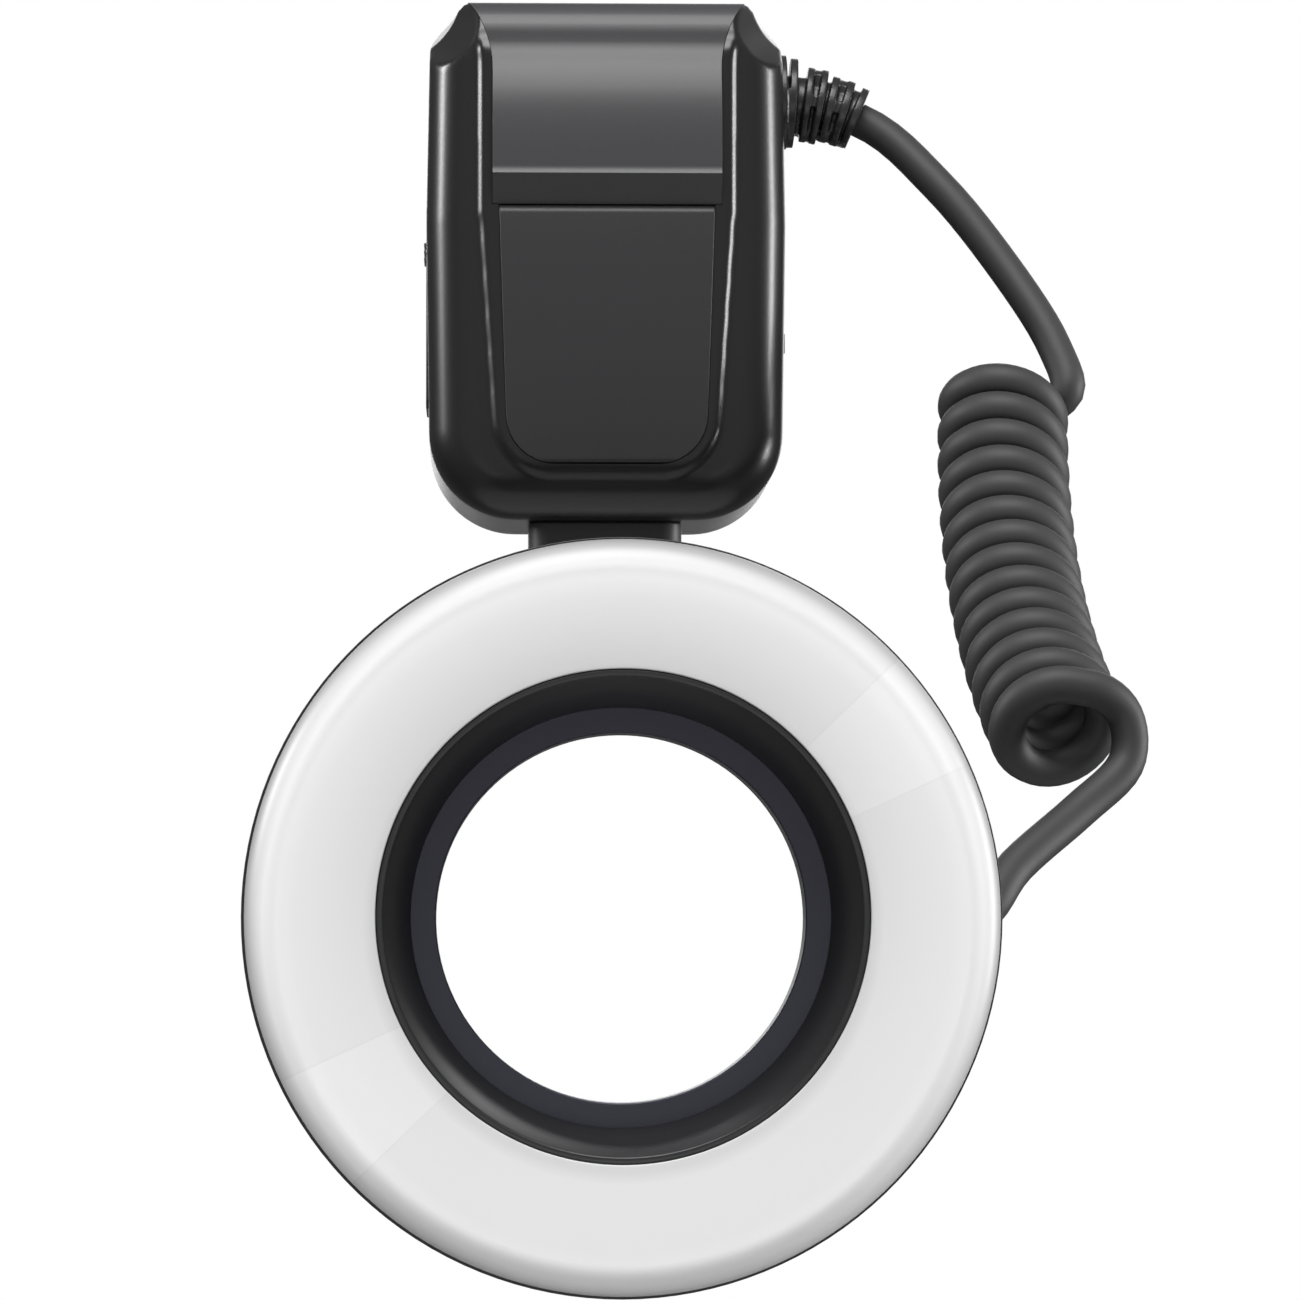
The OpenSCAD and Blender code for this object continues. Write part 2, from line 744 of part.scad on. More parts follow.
module shell_screws() {
    color("silver") for (s = [-1, 1]) difference() {
        union() {
            rod_y([s * shell_screw_x, split_y - 8, shell_screw_z], screw_r, back_y - split_y + 7);
            rod_y([s * shell_screw_x, back_y - screw_head_t, shell_screw_z], screw_head_r, screw_head_t - 0.2);
        }
        for (a = [0, 90]) translate([s * shell_screw_x, back_y, shell_screw_z]) rotate([0, a, 0])
            cube([2.6, 1.4, 0.5], center = true);
    }
}

// Display
module lcd_window() {
    color("#20262a", 0.6) along_y(back_y - lcd_recess, back_y + lcd_proud) translate([0, lcd_mid])
        round_rect(lcd_w, lcd_h, key_corner);
}

module lcd_module() {
    color("#b8c4a8") along_y(key_seat_y - lcd_t, key_seat_y) translate([0, lcd_mid])
        square([lcd_w, lcd_h - 2 * lcd_margin], center = true);
}

// Boards
module dome(x, z) {
    rod_y([x, key_board_y - eps, z], dome_r, dome_h + eps);
}

module key_board() {
    color("#1d5a38") {
        along_y(key_board_y - board_t, key_board_y) translate([0, (key_board_low + key_board_top) / 2])
            square([2 * key_board_hw, key_board_top - key_board_low], center = true);
        for (i = [0:3]) dome((i - 1.5) * fkey_pitch, z0 + fkey_z);
        for (s = [-1, 1], t = [-1, 1]) dome(s * skey_x, dial_mid + t * skey_up);
        dome(0, dial_mid);
    }
}

module main_board() {
    color("#1d5a38") difference() {
        span_box([-board_hw, board_y, board_low_z], [board_hw, board_y + board_t, board_low_z + board_h]);
        for (s = [-1, 1], z = [board_screw_low, board_screw_top])
            rod_y([s * board_screw_x, board_y - 1, z], board_screw_r + seat, board_t + 2);
    }
}

module board_screws() {
    color("silver") for (s = [-1, 1], z = [board_screw_low, board_screw_top]) {
        rod_y([s * board_screw_x, board_y - board_head_t, z], board_head_r, board_head_t);
        rod_y([s * board_screw_x, board_y - eps, z], board_screw_r, board_screw_l);
    }
}

module flash_capacitor() {
    y = board_y - gap - cap_body_r;
    color("#22242c") {
        rod_x([cap_x, y, cap_z], cap_body_r, cap_body_l);
        rod_x([cap_x + cap_body_l - eps, y, cap_z], cap_body_r - cap_bevel, cap_end);
    }
}

module boost_transformer() {
    color("#6d5a33") {
        span_box([transformer_x, board_y - coil_side, transformer_z],
            [transformer_x + coil_side, board_y, transformer_z + transformer_plate]);
        span_box([transformer_x, board_y - coil_side, transformer_z + coil_side - transformer_plate],
            [transformer_x + coil_side, board_y, transformer_z + coil_side]);
        translate([transformer_x + coil_side / 2, board_y - coil_side / 2, transformer_z + transformer_plate - eps])
            cylinder(r = coil_side / 2 - 1, h = coil_side - 2 * transformer_plate + 2 * eps);
    }
}

// Dial and keys
module control_dial() {
    grip_circle = dial_r + grip_r / 3;
    color("#242426") difference() {
        union() {
            rod_y([0, back_y + gap, dial_mid], dial_r, dial_t - dial_chamfer - gap);
            rod_y([0, back_y + dial_t - dial_chamfer - eps, dial_mid], dial_r - dial_chamfer, dial_chamfer + eps);
            rod_y([0, inner_y - seat - dial_lip_t, dial_mid], dial_hub_r, wall + gap + seat + dial_lip_t + eps);
            rod_y([0, inner_y - seat - dial_lip_t, dial_mid], dial_hub_r + dial_lip, dial_lip_t);
        }
        rod_y([0, inner_y - wall - 2, dial_mid], sleeve_r + run, dial_t + 2 * wall + 4);
        for (i = [0:dial_grips - 1]) translate([0, 0, dial_mid]) rotate([0, i * 360 / dial_grips, 0])
            rod_y([grip_circle, back_y, 0], grip_r, dial_t + 1, $fn = 16);
    }
}

module dial_encoder() {
    color("#3c3c40") difference() {
        union() {
            rod_y([0, key_board_y, dial_mid], encoder_r, encoder_t);
            rod_y([0, key_board_y, dial_mid], sleeve_r, sleeve_top - key_board_y);
        }
        rod_y([0, key_board_y - 1, dial_mid], set_r + run, body_d);
    }
}

module set_button() {
    low = key_board_y + dome_h + key_travel + gap;
    color("#303034") {
        rod_y([0, low, dial_mid], set_r, sleeve_top + set_rise - low - 0.6);
        rod_y([0, sleeve_top + set_rise - 0.6 - eps, dial_mid], set_r - 0.6, 0.6 + eps);
    }
}

module key_cap(x, z, w, h) {
    color("#3a3a3e") {
        along_y(key_seat_y - eps, back_y + key_rise) translate([x, z]) round_rect(w, h, key_corner);
        along_y(key_seat_y - key_flange_t, key_seat_y) translate([x, z])
            square([w + 2 * key_flange, h + 2 * key_flange], center = true);
    }
}

module function_key_1() { key_cap(-1.5 * fkey_pitch, z0 + fkey_z, fkey_w, fkey_h); }
module function_key_2() { key_cap(-0.5 * fkey_pitch, z0 + fkey_z, fkey_w, fkey_h); }
module function_key_3() { key_cap(0.5 * fkey_pitch, z0 + fkey_z, fkey_w, fkey_h); }
module function_key_4() { key_cap(1.5 * fkey_pitch, z0 + fkey_z, fkey_w, fkey_h); }
module mode_key() { key_cap(-skey_x, dial_mid + skey_up, skey_w, skey_h); }
module lamp_key() { key_cap(-skey_x, dial_mid - skey_up, skey_w, skey_h); }
module group_key() { key_cap(skey_x, dial_mid + skey_up, skey_w, skey_h); }

module test_button() {
    p = [skey_x, key_seat_y, dial_mid - skey_up];
    color("#8c2020") difference() {
        union() {
            rod_y(p - [0, eps, 0], test_r, wall + seat + key_rise + eps);
            rod_y(p - [0, key_flange_t, 0], test_r + key_flange, key_flange_t);
        }
        rod_y([p[0], back_y + key_rise - 0.4, p[2]], lamp_dot_r, 1);
    }
}

module power_switch() {
    x = -power_travel / 2;
    color("#4a4a4e") {
        along_y(key_seat_y - eps, back_y + key_rise) translate([x, z0 + power_z])
            round_rect(power_w, power_h, key_corner);
        along_y(key_seat_y - key_flange_t, key_seat_y) translate([x, z0 + power_z])
            square([power_w + power_travel + 2, power_h + 2 * key_flange], center = true);
        for (i = [-1:1]) along_y(back_y + key_rise - eps, back_y + key_rise + 0.5)
            translate([x + i * power_w / 4, z0 + power_z]) square([0.7, power_h - 1], center = true);
    }
}

// Battery
module battery_tray() {
    y = batt_d / 2 + gap;
    x0 = -half + 2 * wall;
    color("#333336") difference() {
        span_box([x0, batt_y - y - tray_t, batt_low_z - gap - tray_t],
            [tray_x1, batt_y + y + tray_t, batt_low_z + batt_h + gap + tray_t]);
        span_box([-body_w, batt_y - y, batt_low_z - gap],
            [tray_x1 - tray_t, batt_y + y, batt_low_z + batt_h + gap]);
    }
}

module battery_contacts() {
    x = tray_x1 - tray_t;
    color("gold") for (i = [-1:1])
        span_box([x - contact_blade_t, batt_y - 5, batt_low_z + batt_h / 2 + i * 9 - 1.5],
            [x, batt_y + 5, batt_low_z + batt_h / 2 + i * 9 + 1.5]);
}

module battery_pack() {
    color("#262628") difference() {
        translate([-half, 0, 0]) rotate([90, 0, 90]) linear_extrude(batt_l)
            translate([batt_y, batt_low_z + batt_h / 2]) round_rect(batt_d, batt_h, 2);
        for (i = [0:4]) span_box([-half - 1, batt_y - batt_d / 2 + 3, batt_low_z + 5 + i * 3],
            [-half + batt_grip_d, batt_y + batt_d / 2 - 3, batt_low_z + 6.4 + i * 3]);
        span_box([-half - 1, batt_y - batt_latch_w / 2 - gap, batt_latch_z - batt_latch_travel - gap],
            [-half + batt_latch_t + gap, batt_y + batt_latch_w / 2 + gap, batt_latch_z + batt_latch_h + gap]);
    }
}

module battery_latch() {
    color("#505054") {
        span_box([-half, batt_y - batt_latch_w / 2, batt_latch_z],
            [-half + batt_latch_t, batt_y + batt_latch_w / 2, batt_latch_z + batt_latch_h]);
        for (i = [0:2]) span_box([-half - 0.5, batt_y - batt_latch_w / 2 + 1, batt_latch_z + 0.8 + i * 1.4],
            [-half + eps, batt_y + batt_latch_w / 2 - 1, batt_latch_z + 1.4 + i * 1.4]);
    }
}

// Ports
module port_cover() {
    color("#1a1a1b") {
        span_box([port_face_x - port_t, port_y - port_w / 2, port_mid - port_h / 2],
            [port_face_x, port_hinge[1], port_mid + port_h / 2]);
        translate([port_hinge[0], port_hinge[1], port_mid - port_h / 2]) cylinder(r = port_knuckle_r, h = port_h);
        span_box([port_face_x - eps, port_y - port_w / 2 + 1, port_mid - 2],
            [port_face_x + 0.6, port_y - port_w / 2 + 2, port_mid + 2]);
    }
}

module port_sockets() {
    face = port_face_x - port_t - gap;
    color("#101012") difference() {
        span_box([face - socket_d, port_y - port_w / 2, port_mid - port_h / 2],
            [face, port_y + port_w / 2, port_mid + port_h / 2]);
        translate([face, port_y, port_mid + port_h / 4]) cube([socket_d, usb_w, usb_h], center = true);
        rod_x([face - socket_d + 1, port_y, port_mid - port_h / 4], jack_r, socket_d);
    }
}

// Bent relief where the cord leaves the unit
module relief_at(a) {
    translate([relief_start_x, 0, relief_world_z - relief_arc_r]) rotate([0, a, 0])
        translate([0, 0, relief_arc_r]) rotate([0, 90, 0]) children();
}

module unit_relief() {
    color("#1b1b1c") {
        translate([relief_start_x, 0, relief_world_z - relief_arc_r]) rotate([0, -90, -90])
            rotate_extrude(angle = relief_bend) translate([relief_arc_r, 0]) circle(relief_core_r, $fn = 32);
        for (r = relief_ribs) relief_at(relief_bend * r[0] / relief_l) cylinder(r = relief_r - r[2], h = r[1]);
        relief_at(relief_bend) mirror([0, 0, 1]) cylinder(r = relief_r - relief_tip_in, h = relief_tip_l);
        for (b = relief_bars) relief_at(relief_bend * (b[0] + b[1] / 2) / relief_l) intersection() {
            cylinder(r = relief_r - b[2], h = b[1], center = true);
            union() {
                cube([2 * relief_r, relief_bar_w, b[1]], center = true);
                cube([relief_web, 2 * relief_r, b[1]], center = true);
            }
        }
        for (k = relief_keels) relief_at(relief_bend * (k[0] + k[1] / 2) / relief_l)
            translate([0, -relief_keel_w / 2, -k[1] / 2]) cube([relief_keel_r, relief_keel_w, k[1]]);
        rod_x([half - wall - relief_in_l - seat, 0, relief_world_z], relief_in_r,
            wall + relief_in_l + seat - half + relief_start_x + eps);
        rod_x([half - wall - waist_in - relief_in_l - seat, 0, relief_world_z], relief_in_r + 1.2, relief_in_l);
    }
}

// Hot-shoe foot
module foot_block() {
    color("#29292b") difference() {
        translate([0, 0, block_z]) linear_extrude(z0 - block_z) round_rect(block_w, block_l, 4);
        translate([0, 0, block_z - 1]) cylinder(r = neck_r + seat / 2, h = z0);
    }
}

module foot_neck() {
    color("silver") translate([0, 0, plate_t]) cylinder(r = neck_r, h = z0 - plate_t);
}

module foot_plate() {
    color("silver") difference() {
        linear_extrude(plate_t) round_rect(plate_w, plate_l, 1);
        translate([0, -pin_y, -1]) cylinder(r = pin_r + run, h = plate_t + 2);
        contact_places() translate([0, 0, -1]) cylinder(r = contact_r + seat / 2, h = contact_depth + 1);
        translate([0, 0, -1]) cylinder(r = centre_contact_r + seat / 2, h = contact_depth + 1);
    }
}

module contact_places() {
    for (i = [0:3]) translate([(i - 1.5) * contact_pitch, contact_row, 0]) children();
}

module foot_contacts() {
    color("gold") {
        contact_places() translate([0, 0, -contact_out])
            cylinder(r = contact_r, h = contact_depth + contact_out);
        translate([0, 0, -contact_out]) cylinder(r = centre_contact_r, h = contact_depth + contact_out);
    }
}

module lock_lever() {
    color("#1f1f21") translate([0, 0, lever_z]) difference() {
        union() {
            translate([0, 0, lever_room]) cylinder(r = lever_r, h = lever_t - lever_room);
            translate([-lever_w / 2, 0, lever_room])
                cube([lever_w, lever_reach - lever_w / 2, lever_t - lever_room]);
            linear_extrude(lever_t) union() {
                translate([-lever_w / 2, lever_r]) square([lever_w, lever_reach - lever_r - lever_w / 2]);
                translate([0, lever_reach - lever_w / 2]) circle(lever_w / 2);
            }
        }
        translate([0, 0, -1]) cylinder(r = neck_r + run, h = lever_t + 2);
        for (i = [0:3]) translate([-lever_w, lever_reach - 4 - i * 2, lever_t - 0.5]) cube([2 * lever_w, 0.9, 1]);
    }
}

module lock_pin() {
    color("silver") translate([0, -pin_y, -pin_out]) cylinder(r = pin_r, h = pin_top + pin_out);
}

// Cord: a tube through points, with its rings square to the route
function hermite(p, u, q, v, t) =
    p * (1 + 2 * t) * (1 - t) * (1 - t) + u * t * (1 - t) * (1 - t)
    + q * t * t * (3 - 2 * t) - v * t * t * (1 - t);

function route(p, start, end) =
    let (n = len(p) - 1,
        d = [for (i = [0:n]) i == 0 ? start * norm(p[1] - p[0])
            : i == n ? end * norm(p[n] - p[n - 1]) : (p[i + 1] - p[i - 1]) / 2])
    concat([for (i = [0:n - 1], k = [0:route_steps - 1])
        hermite(p[i], d[i], p[i + 1], d[i + 1], k / route_steps)], [p[n]]);

function headings(p, start, end) =
    let (n = len(p) - 1)
    [for (i = [0:n]) i == 0 ? start : i == n ? end : unit(p[i + 1] - p[i - 1])];

function carried(t, v, i = 0) =
    i == len(t) ? [] : let (w = square_to(v, t[i])) concat([w], carried(t, w, i + 1));

function ring(c, t, v, sides) =
    let (w = cross(t, v))
    [for (k = [0:sides - 1]) c + cord_d / 2 * (v * cos(k * 360 / sides) + w * sin(k * 360 / sides))];

module tube(centres, tangents, normals, sides) {
    n = len(centres);
    points = [for (i = [0:n - 1]) each ring(centres[i], tangents[i], normals[i], sides)];
    skin = [for (i = [0:n - 2], k = [0:sides - 1])
        let (a = i * sides + k, b = i * sides + (k + 1) % sides, c = b + sides, d = a + sides)
        each [[a, d, c], [a, c, b]]];
    first = [for (k = [1:sides - 2]) [0, k, k + 1]];
    last = [for (k = [1:sides - 2]) [(n - 1) * sides, (n - 1) * sides + k + 1, (n - 1) * sides + k]];
    polyhedron(points, concat(skin, first, last), convexity = 10);
}

// Curls wound left-handed round a curved axis
curl_total = 360 * curls + curl_end_a - curl_start_a;
curl_count = round(curl_rings * curl_total / 360);

function curl_axis_at(t) =
    curl_axis[0] * (1 - t) * (1 - t) + curl_axis[1] * 2 * t * (1 - t) + curl_axis[2] * t * t;
function curl_axis_dir(t) =
    unit((curl_axis[1] - curl_axis[0]) * (1 - t) + (curl_axis[2] - curl_axis[1]) * t);
function curl_out(t) =
    let (a = curl_axis_dir(t), e = square_to([1, 0, 0], a), f = cross(e, a), w = curl_start_a + curl_total * t)
    e * cos(w) + f * sin(w);
function curl_at(t) = curl_axis_at(t) + curl_r * curl_out(t);
function curl_dir(t) = unit(curl_at(t + 0.0002) - curl_at(t - 0.0002));

curl_first = curl_at(0) - curl_dir(0) * cord_d;
curl_last = curl_at(1) + curl_dir(1) * cord_d;

function curl_gap(n) =
    let (p = [for (i = [0:n]) curl_at(i / n)], apart = floor(n / curls / 2))
    min([for (i = [0:n - apart]) min([for (j = [i + apart:min(n, i + 3 * apart)]) norm(p[i] - p[j])])]) - cord_d;

// The relief's end face and its direction
relief_end = [relief_start_x + relief_arc_r * sin(relief_bend), 0,
    relief_world_z - relief_arc_r * (1 - cos(relief_bend))];
relief_dir = [cos(relief_bend), 0, -sin(relief_bend)];
gland_dir = [cos(gland_a), 0, sin(gland_a)];
boss_mid = [boss_circle * cos(boss_a), -ring_rear + gland_mid, boss_circle * sin(boss_a) - ring_drop];
gland_end = boss_mid + gland_dir * (boss_flat + gland_l);

module cord_lead() {
    p = route(concat([relief_end], lead_mid, [curl_first]), relief_dir, curl_dir(0));
    t = headings(p, relief_dir, curl_dir(0));
    color("#2a2a2b") tube(p, t, carried(t, [0, 1, 0]), route_sides);
}

module cord_curl() {
    t = [for (i = [0:curl_count]) i / curl_count];
    centres = concat([curl_first], [for (s = t) curl_at(s)], [curl_last]);
    tangents = concat([curl_dir(0)], [for (s = t) curl_dir(s)], [curl_dir(1)]);
    normals = concat([square_to(curl_out(0), curl_dir(0))], [for (s = t) square_to(curl_out(s), curl_dir(s))],
        [square_to(curl_out(1), curl_dir(1))]);
    color("#2a2a2b") tube(centres, tangents, normals, curl_sides);
}

module cord_tail() {
    p = route(concat([curl_last], tail_mid, [gland_end]), curl_dir(1), -gland_dir);
    t = headings(p, curl_dir(1), -gland_dir);
    color("#2a2a2b") tube(p, t, carried(t, [0, 1, 0]), route_sides);
}

echo(least_gap_between_curls_mm = curl_gap(560));

// Ring head: drawn along the lens axis with the rear face at 0, then set in place
module on_axis() {
    translate([0, -ring_rear, -ring_drop]) rotate([90, 0, 0]) children();
}

module at_angle(a, r) {
    rotate([0, 0, a]) translate([r, 0, 0]) children();
}

module screw_places() {
    for (a = [45:90:315]) at_angle(a, head_screw_circle) children();
}

module head_case() {
    color("#19191a") on_axis() difference() {
        union() {
            rotate_extrude($fn = 128) polygon([[chamber_r, 0], [case_rear_r - 0.8, 0], [case_rear_r, 0.8],
                [ring_r, rim_z - rim_band], [ring_r, rim_z], [diff_r_out - diff_t - seat, rim_z],
                [diff_r_out - diff_t - seat, part_top + 1], [board_out_r + 0.5, part_top],
                [part_in_r, part_top], [part_in_r, part_z], [chamber_r, part_z]]);
            screw_places() translate([0, 0, cover_t]) cylinder(r = head_post_r, h = part_z - cover_t + eps);
            for (s = [-1, 1], t = [-1, 1])
                span_box([s * spring_x - (s + 1) / 2 * spring_post_t, t * spring_y - 1.4, rear_plate_z],
                    [s * spring_x + (1 - s) / 2 * spring_post_t, t * spring_y + 1.4, part_z + eps]);
        }
        for (s = [-1, 1]) translate([s * (button_x + ring_r) / 2, 0, (button_z0 + button_z1) / 2])
            cube([ring_r - button_x + 2 * case_t + 2 * release_travel, release_w + 2 * gap,
                button_z1 - button_z0 + 2 * gap], center = true);
        screw_places() cylinder(r = head_screw_r, h = part_z);
    }
}

module rear_cover() {
    mid = [boss_circle * cos(boss_a), boss_circle * sin(boss_a), 0];
    color("#1d1d1e") on_axis() difference() {
        union() {
            rotate_extrude($fn = 128) translate([cover_in_r, 0]) square([cover_r - cover_in_r, cover_t]);
            intersection() {
                translate(mid - [0, 0, boss_h]) cylinder(r = boss_r, h = boss_h + eps);
                translate(mid) rotate([0, 0, gland_a])
                    translate([-2 * boss_r, -2 * boss_r, -2 * boss_h])
                        cube([2 * boss_r + boss_flat, 4 * boss_r, 4 * boss_h]);
            }
        }
        screw_places() {
            translate([0, 0, -1]) cylinder(r = head_screw_r + seat, h = cover_t + 2);
            translate([0, 0, -1]) cylinder(r = head_post_r + seat, h = 1 + screw_head_t / 2);
        }
    }
}

module head_screws() {
    color("silver") on_axis() screw_places() {
        cylinder(r = head_screw_r, h = part_z - 0.5);
        cylinder(r = head_post_r, h = screw_head_t / 2);
    }
}

module diffuser() {
    front = ring_depth;
    inner = diff_r_out - diff_t;
    edge = diff_r_out - diff_r;
    fillet = diff_r - diff_t;
    color("white") on_axis() rotate_extrude($fn = 128) polygon(concat(
        [[diff_r_out, rim_z + seat]], arc(edge, front - diff_r, diff_r, 0, 90, 8),
        [[bore_r, front - diff_dish], [bore_r, front - diff_dish - diff_t]],
        [for (i = [8:-1:0]) arc(edge, front - diff_r, fillet, 0, 90, 8)[i]], [[inner, rim_z + seat]]));
}

module bore_hood() {
    top = ring_depth - diff_dish - 0.3;
    out = bore_r - seat;
    color("#151516") on_axis() rotate_extrude($fn = 128) polygon([[lip_r, hood_base_z],
        [hood_base_r, hood_base_z], [hood_base_r, hood_base_z + hood_t],
        [lip_r + 2 * hood_t, hood_base_z + hood_t], [out, top - 2.4], [out, top], [out - hood_t, top]]);
}

module reflector() {
    low = reflector_z + reflector_t;
    high = socket_top - 0.5;
    color("#e8e8ea") on_axis() {
        rotate_extrude($fn = 128) polygon([[reflector_in - reflector_lean_in, high],
            [reflector_in - reflector_lean_in + reflector_t, high], [reflector_in + reflector_t, low],
            [reflector_out - reflector_lean_out - reflector_t, low], [reflector_out - reflector_t, high],
            [reflector_out, high], [reflector_out - reflector_lean_out, reflector_z], [reflector_in, reflector_z]]);
        for (a = [10:90:280]) at_angle(a, tube_circle) translate([0, 0, head_board_z + board_t])
            cylinder(r = 1.6, h = reflector_z - head_board_z - board_t + eps);
    }
}

module flash_arc(a) {
    on_axis() translate([0, 0, tube_z]) rotate([0, 0, a + lamp_span / 2 + socket_span])
        rotate_extrude(angle = 180 - lamp_span - 2 * socket_span, $fn = 128)
            translate([tube_circle, 0]) circle(tube_r, $fn = 24);
}

module flash_tube_upper() { color("#dfe6ea", 0.7) flash_arc(lamp_a); }
module flash_tube_lower() { color("#dfe6ea", 0.7) flash_arc(lamp_a + 180); }

module tube_sockets() {
    color("#c9c9cc") on_axis() translate([0, 0, reflector_z + reflector_t])
        for (a = [lamp_a, lamp_a + 180], s = [-1, 1])
            rotate([0, 0, a + s * lamp_span / 2 - (1 - s) / 2 * socket_span])
                rotate_extrude(angle = socket_span, $fn = 128) translate([socket_in, 0])
                    square([socket_out - socket_in, socket_top - reflector_z - reflector_t]);
}

module focus_lamps() {
    base = reflector_z + reflector_t;
    color("#f6f0d0") on_axis() for (a = [lamp_a, lamp_a + 180], s = [-1, 1])
        at_angle(a + s * lamp_span / 4.4, tube_circle) {
            translate([0, 0, base]) cylinder(r = lamp_r, h = lamp_h);
            translate([0, 0, base + lamp_h - eps]) intersection() {
                sphere(lamp_r);
                cylinder(r = lamp_r + 1, h = lamp_r + 1);
            }
        }
}

module head_board() {
    color("#1d5a38") on_axis() translate([0, 0, head_board_z]) rotate_extrude($fn = 128)
        translate([board_in_r, 0]) square([board_out_r - board_in_r, board_t]);
}

// Releases: s is 1 for the button at +X
module release_button(s) {
    color("#2f2f32") on_axis() mirror([(1 - s) / 2, 0, 0]) difference() {
        intersection() {
            span_box([button_x, -release_w / 2, button_z0], [ring_r, release_w / 2, button_z1]);
            cylinder(r = button_out, h = ring_depth, $fn = 128);
        }
        for (i = [-2:2]) translate([button_out, i * 2.6, 0]) cylinder(r = 0.7, h = ring_depth, $fn = 16);
    }
}

module release_button_right() { release_button(1); }
module release_button_left() { release_button(-1); }

module latch_plate(s, z) {
    color("silver") on_axis() translate([0, 0, z]) mirror([(1 - s) / 2, 0, 0]) difference() {
        union() {
            translate([latch_shift, 0, 0]) cylinder(r = latch_out_r, h = latch_t, $fn = 128);
            span_box([latch_open_r, -arm_hw, 0], [button_x, arm_hw, latch_t]);
        }
        translate([latch_shift, 0, -1]) cylinder(r = latch_open_r, h = latch_t + 2, $fn = 128);
    }
}

module latch_plate_right() { latch_plate(1, plate_a_z); }
module latch_plate_left() { latch_plate(-1, plate_b_z); }

module release_springs() {
    z = (rear_plate_z + part_z) / 2;
    color("silver") on_axis() for (s = [-1, 1], t = [-1, 1]) mirror([(1 - s) / 2, 0, 0]) difference() {
        rod_x([spring_x, t * spring_y, z], spring_r, button_x - spring_x);
        rod_x([spring_x - 1, t * spring_y, z], spring_r - 0.4, button_x - spring_x + 2);
    }
}

module head_relief() {
    core = cord_d / 2 + 1.2;
    color("#1b1b1c") translate(boss_mid) rotate([0, 90 - gland_a, 0]) translate([0, 0, boss_flat]) {
        cylinder(r = core, h = gland_l);
        for (i = [0:2]) translate([0, 0, i * gland_l / 3]) cylinder(r = core + 1.2 - i * 0.4, h = gland_l / 5);
    }
}

module adapter_ring() {
    color("#4a4a52") on_axis() rotate_extrude($fn = 128) polygon([[adapter_in_r, flange_z - thread_l],
        [thread_r, flange_z - thread_l], [thread_r, flange_z], [adapter_r, flange_z], [adapter_r, groove_z0],
        [adapter_r - groove_d, groove_z0], [adapter_r - groove_d, groove_z1], [adapter_r, groove_z1],
        [adapter_r, adapter_front], [adapter_in_r, adapter_front]]);
}

front_shell();
rear_shell();
shell_screws();
brow_panel();
lower_panel();
lcd_window();
lcd_module();
key_board();
main_board();
board_screws();
flash_capacitor();
boost_transformer();
control_dial();
dial_encoder();
set_button();
function_key_1();
function_key_2();
function_key_3();
function_key_4();
mode_key();
lamp_key();
group_key();
test_button();
power_switch();
battery_tray();
battery_contacts();
battery_pack();
battery_latch();
port_cover();
port_sockets();
unit_relief();
foot_block();
foot_neck();
foot_plate();
foot_contacts();
lock_lever();
lock_pin();
cord_lead();
cord_curl();
cord_tail();
head_case();
rear_cover();
head_screws();
diffuser();
bore_hood();
reflector();
flash_tube_upper();
flash_tube_lower();
tube_sockets();
focus_lamps();
head_board();
release_button_left();
release_button_right();
latch_plate_left();
latch_plate_right();
release_springs();
head_relief();
adapter_ring();
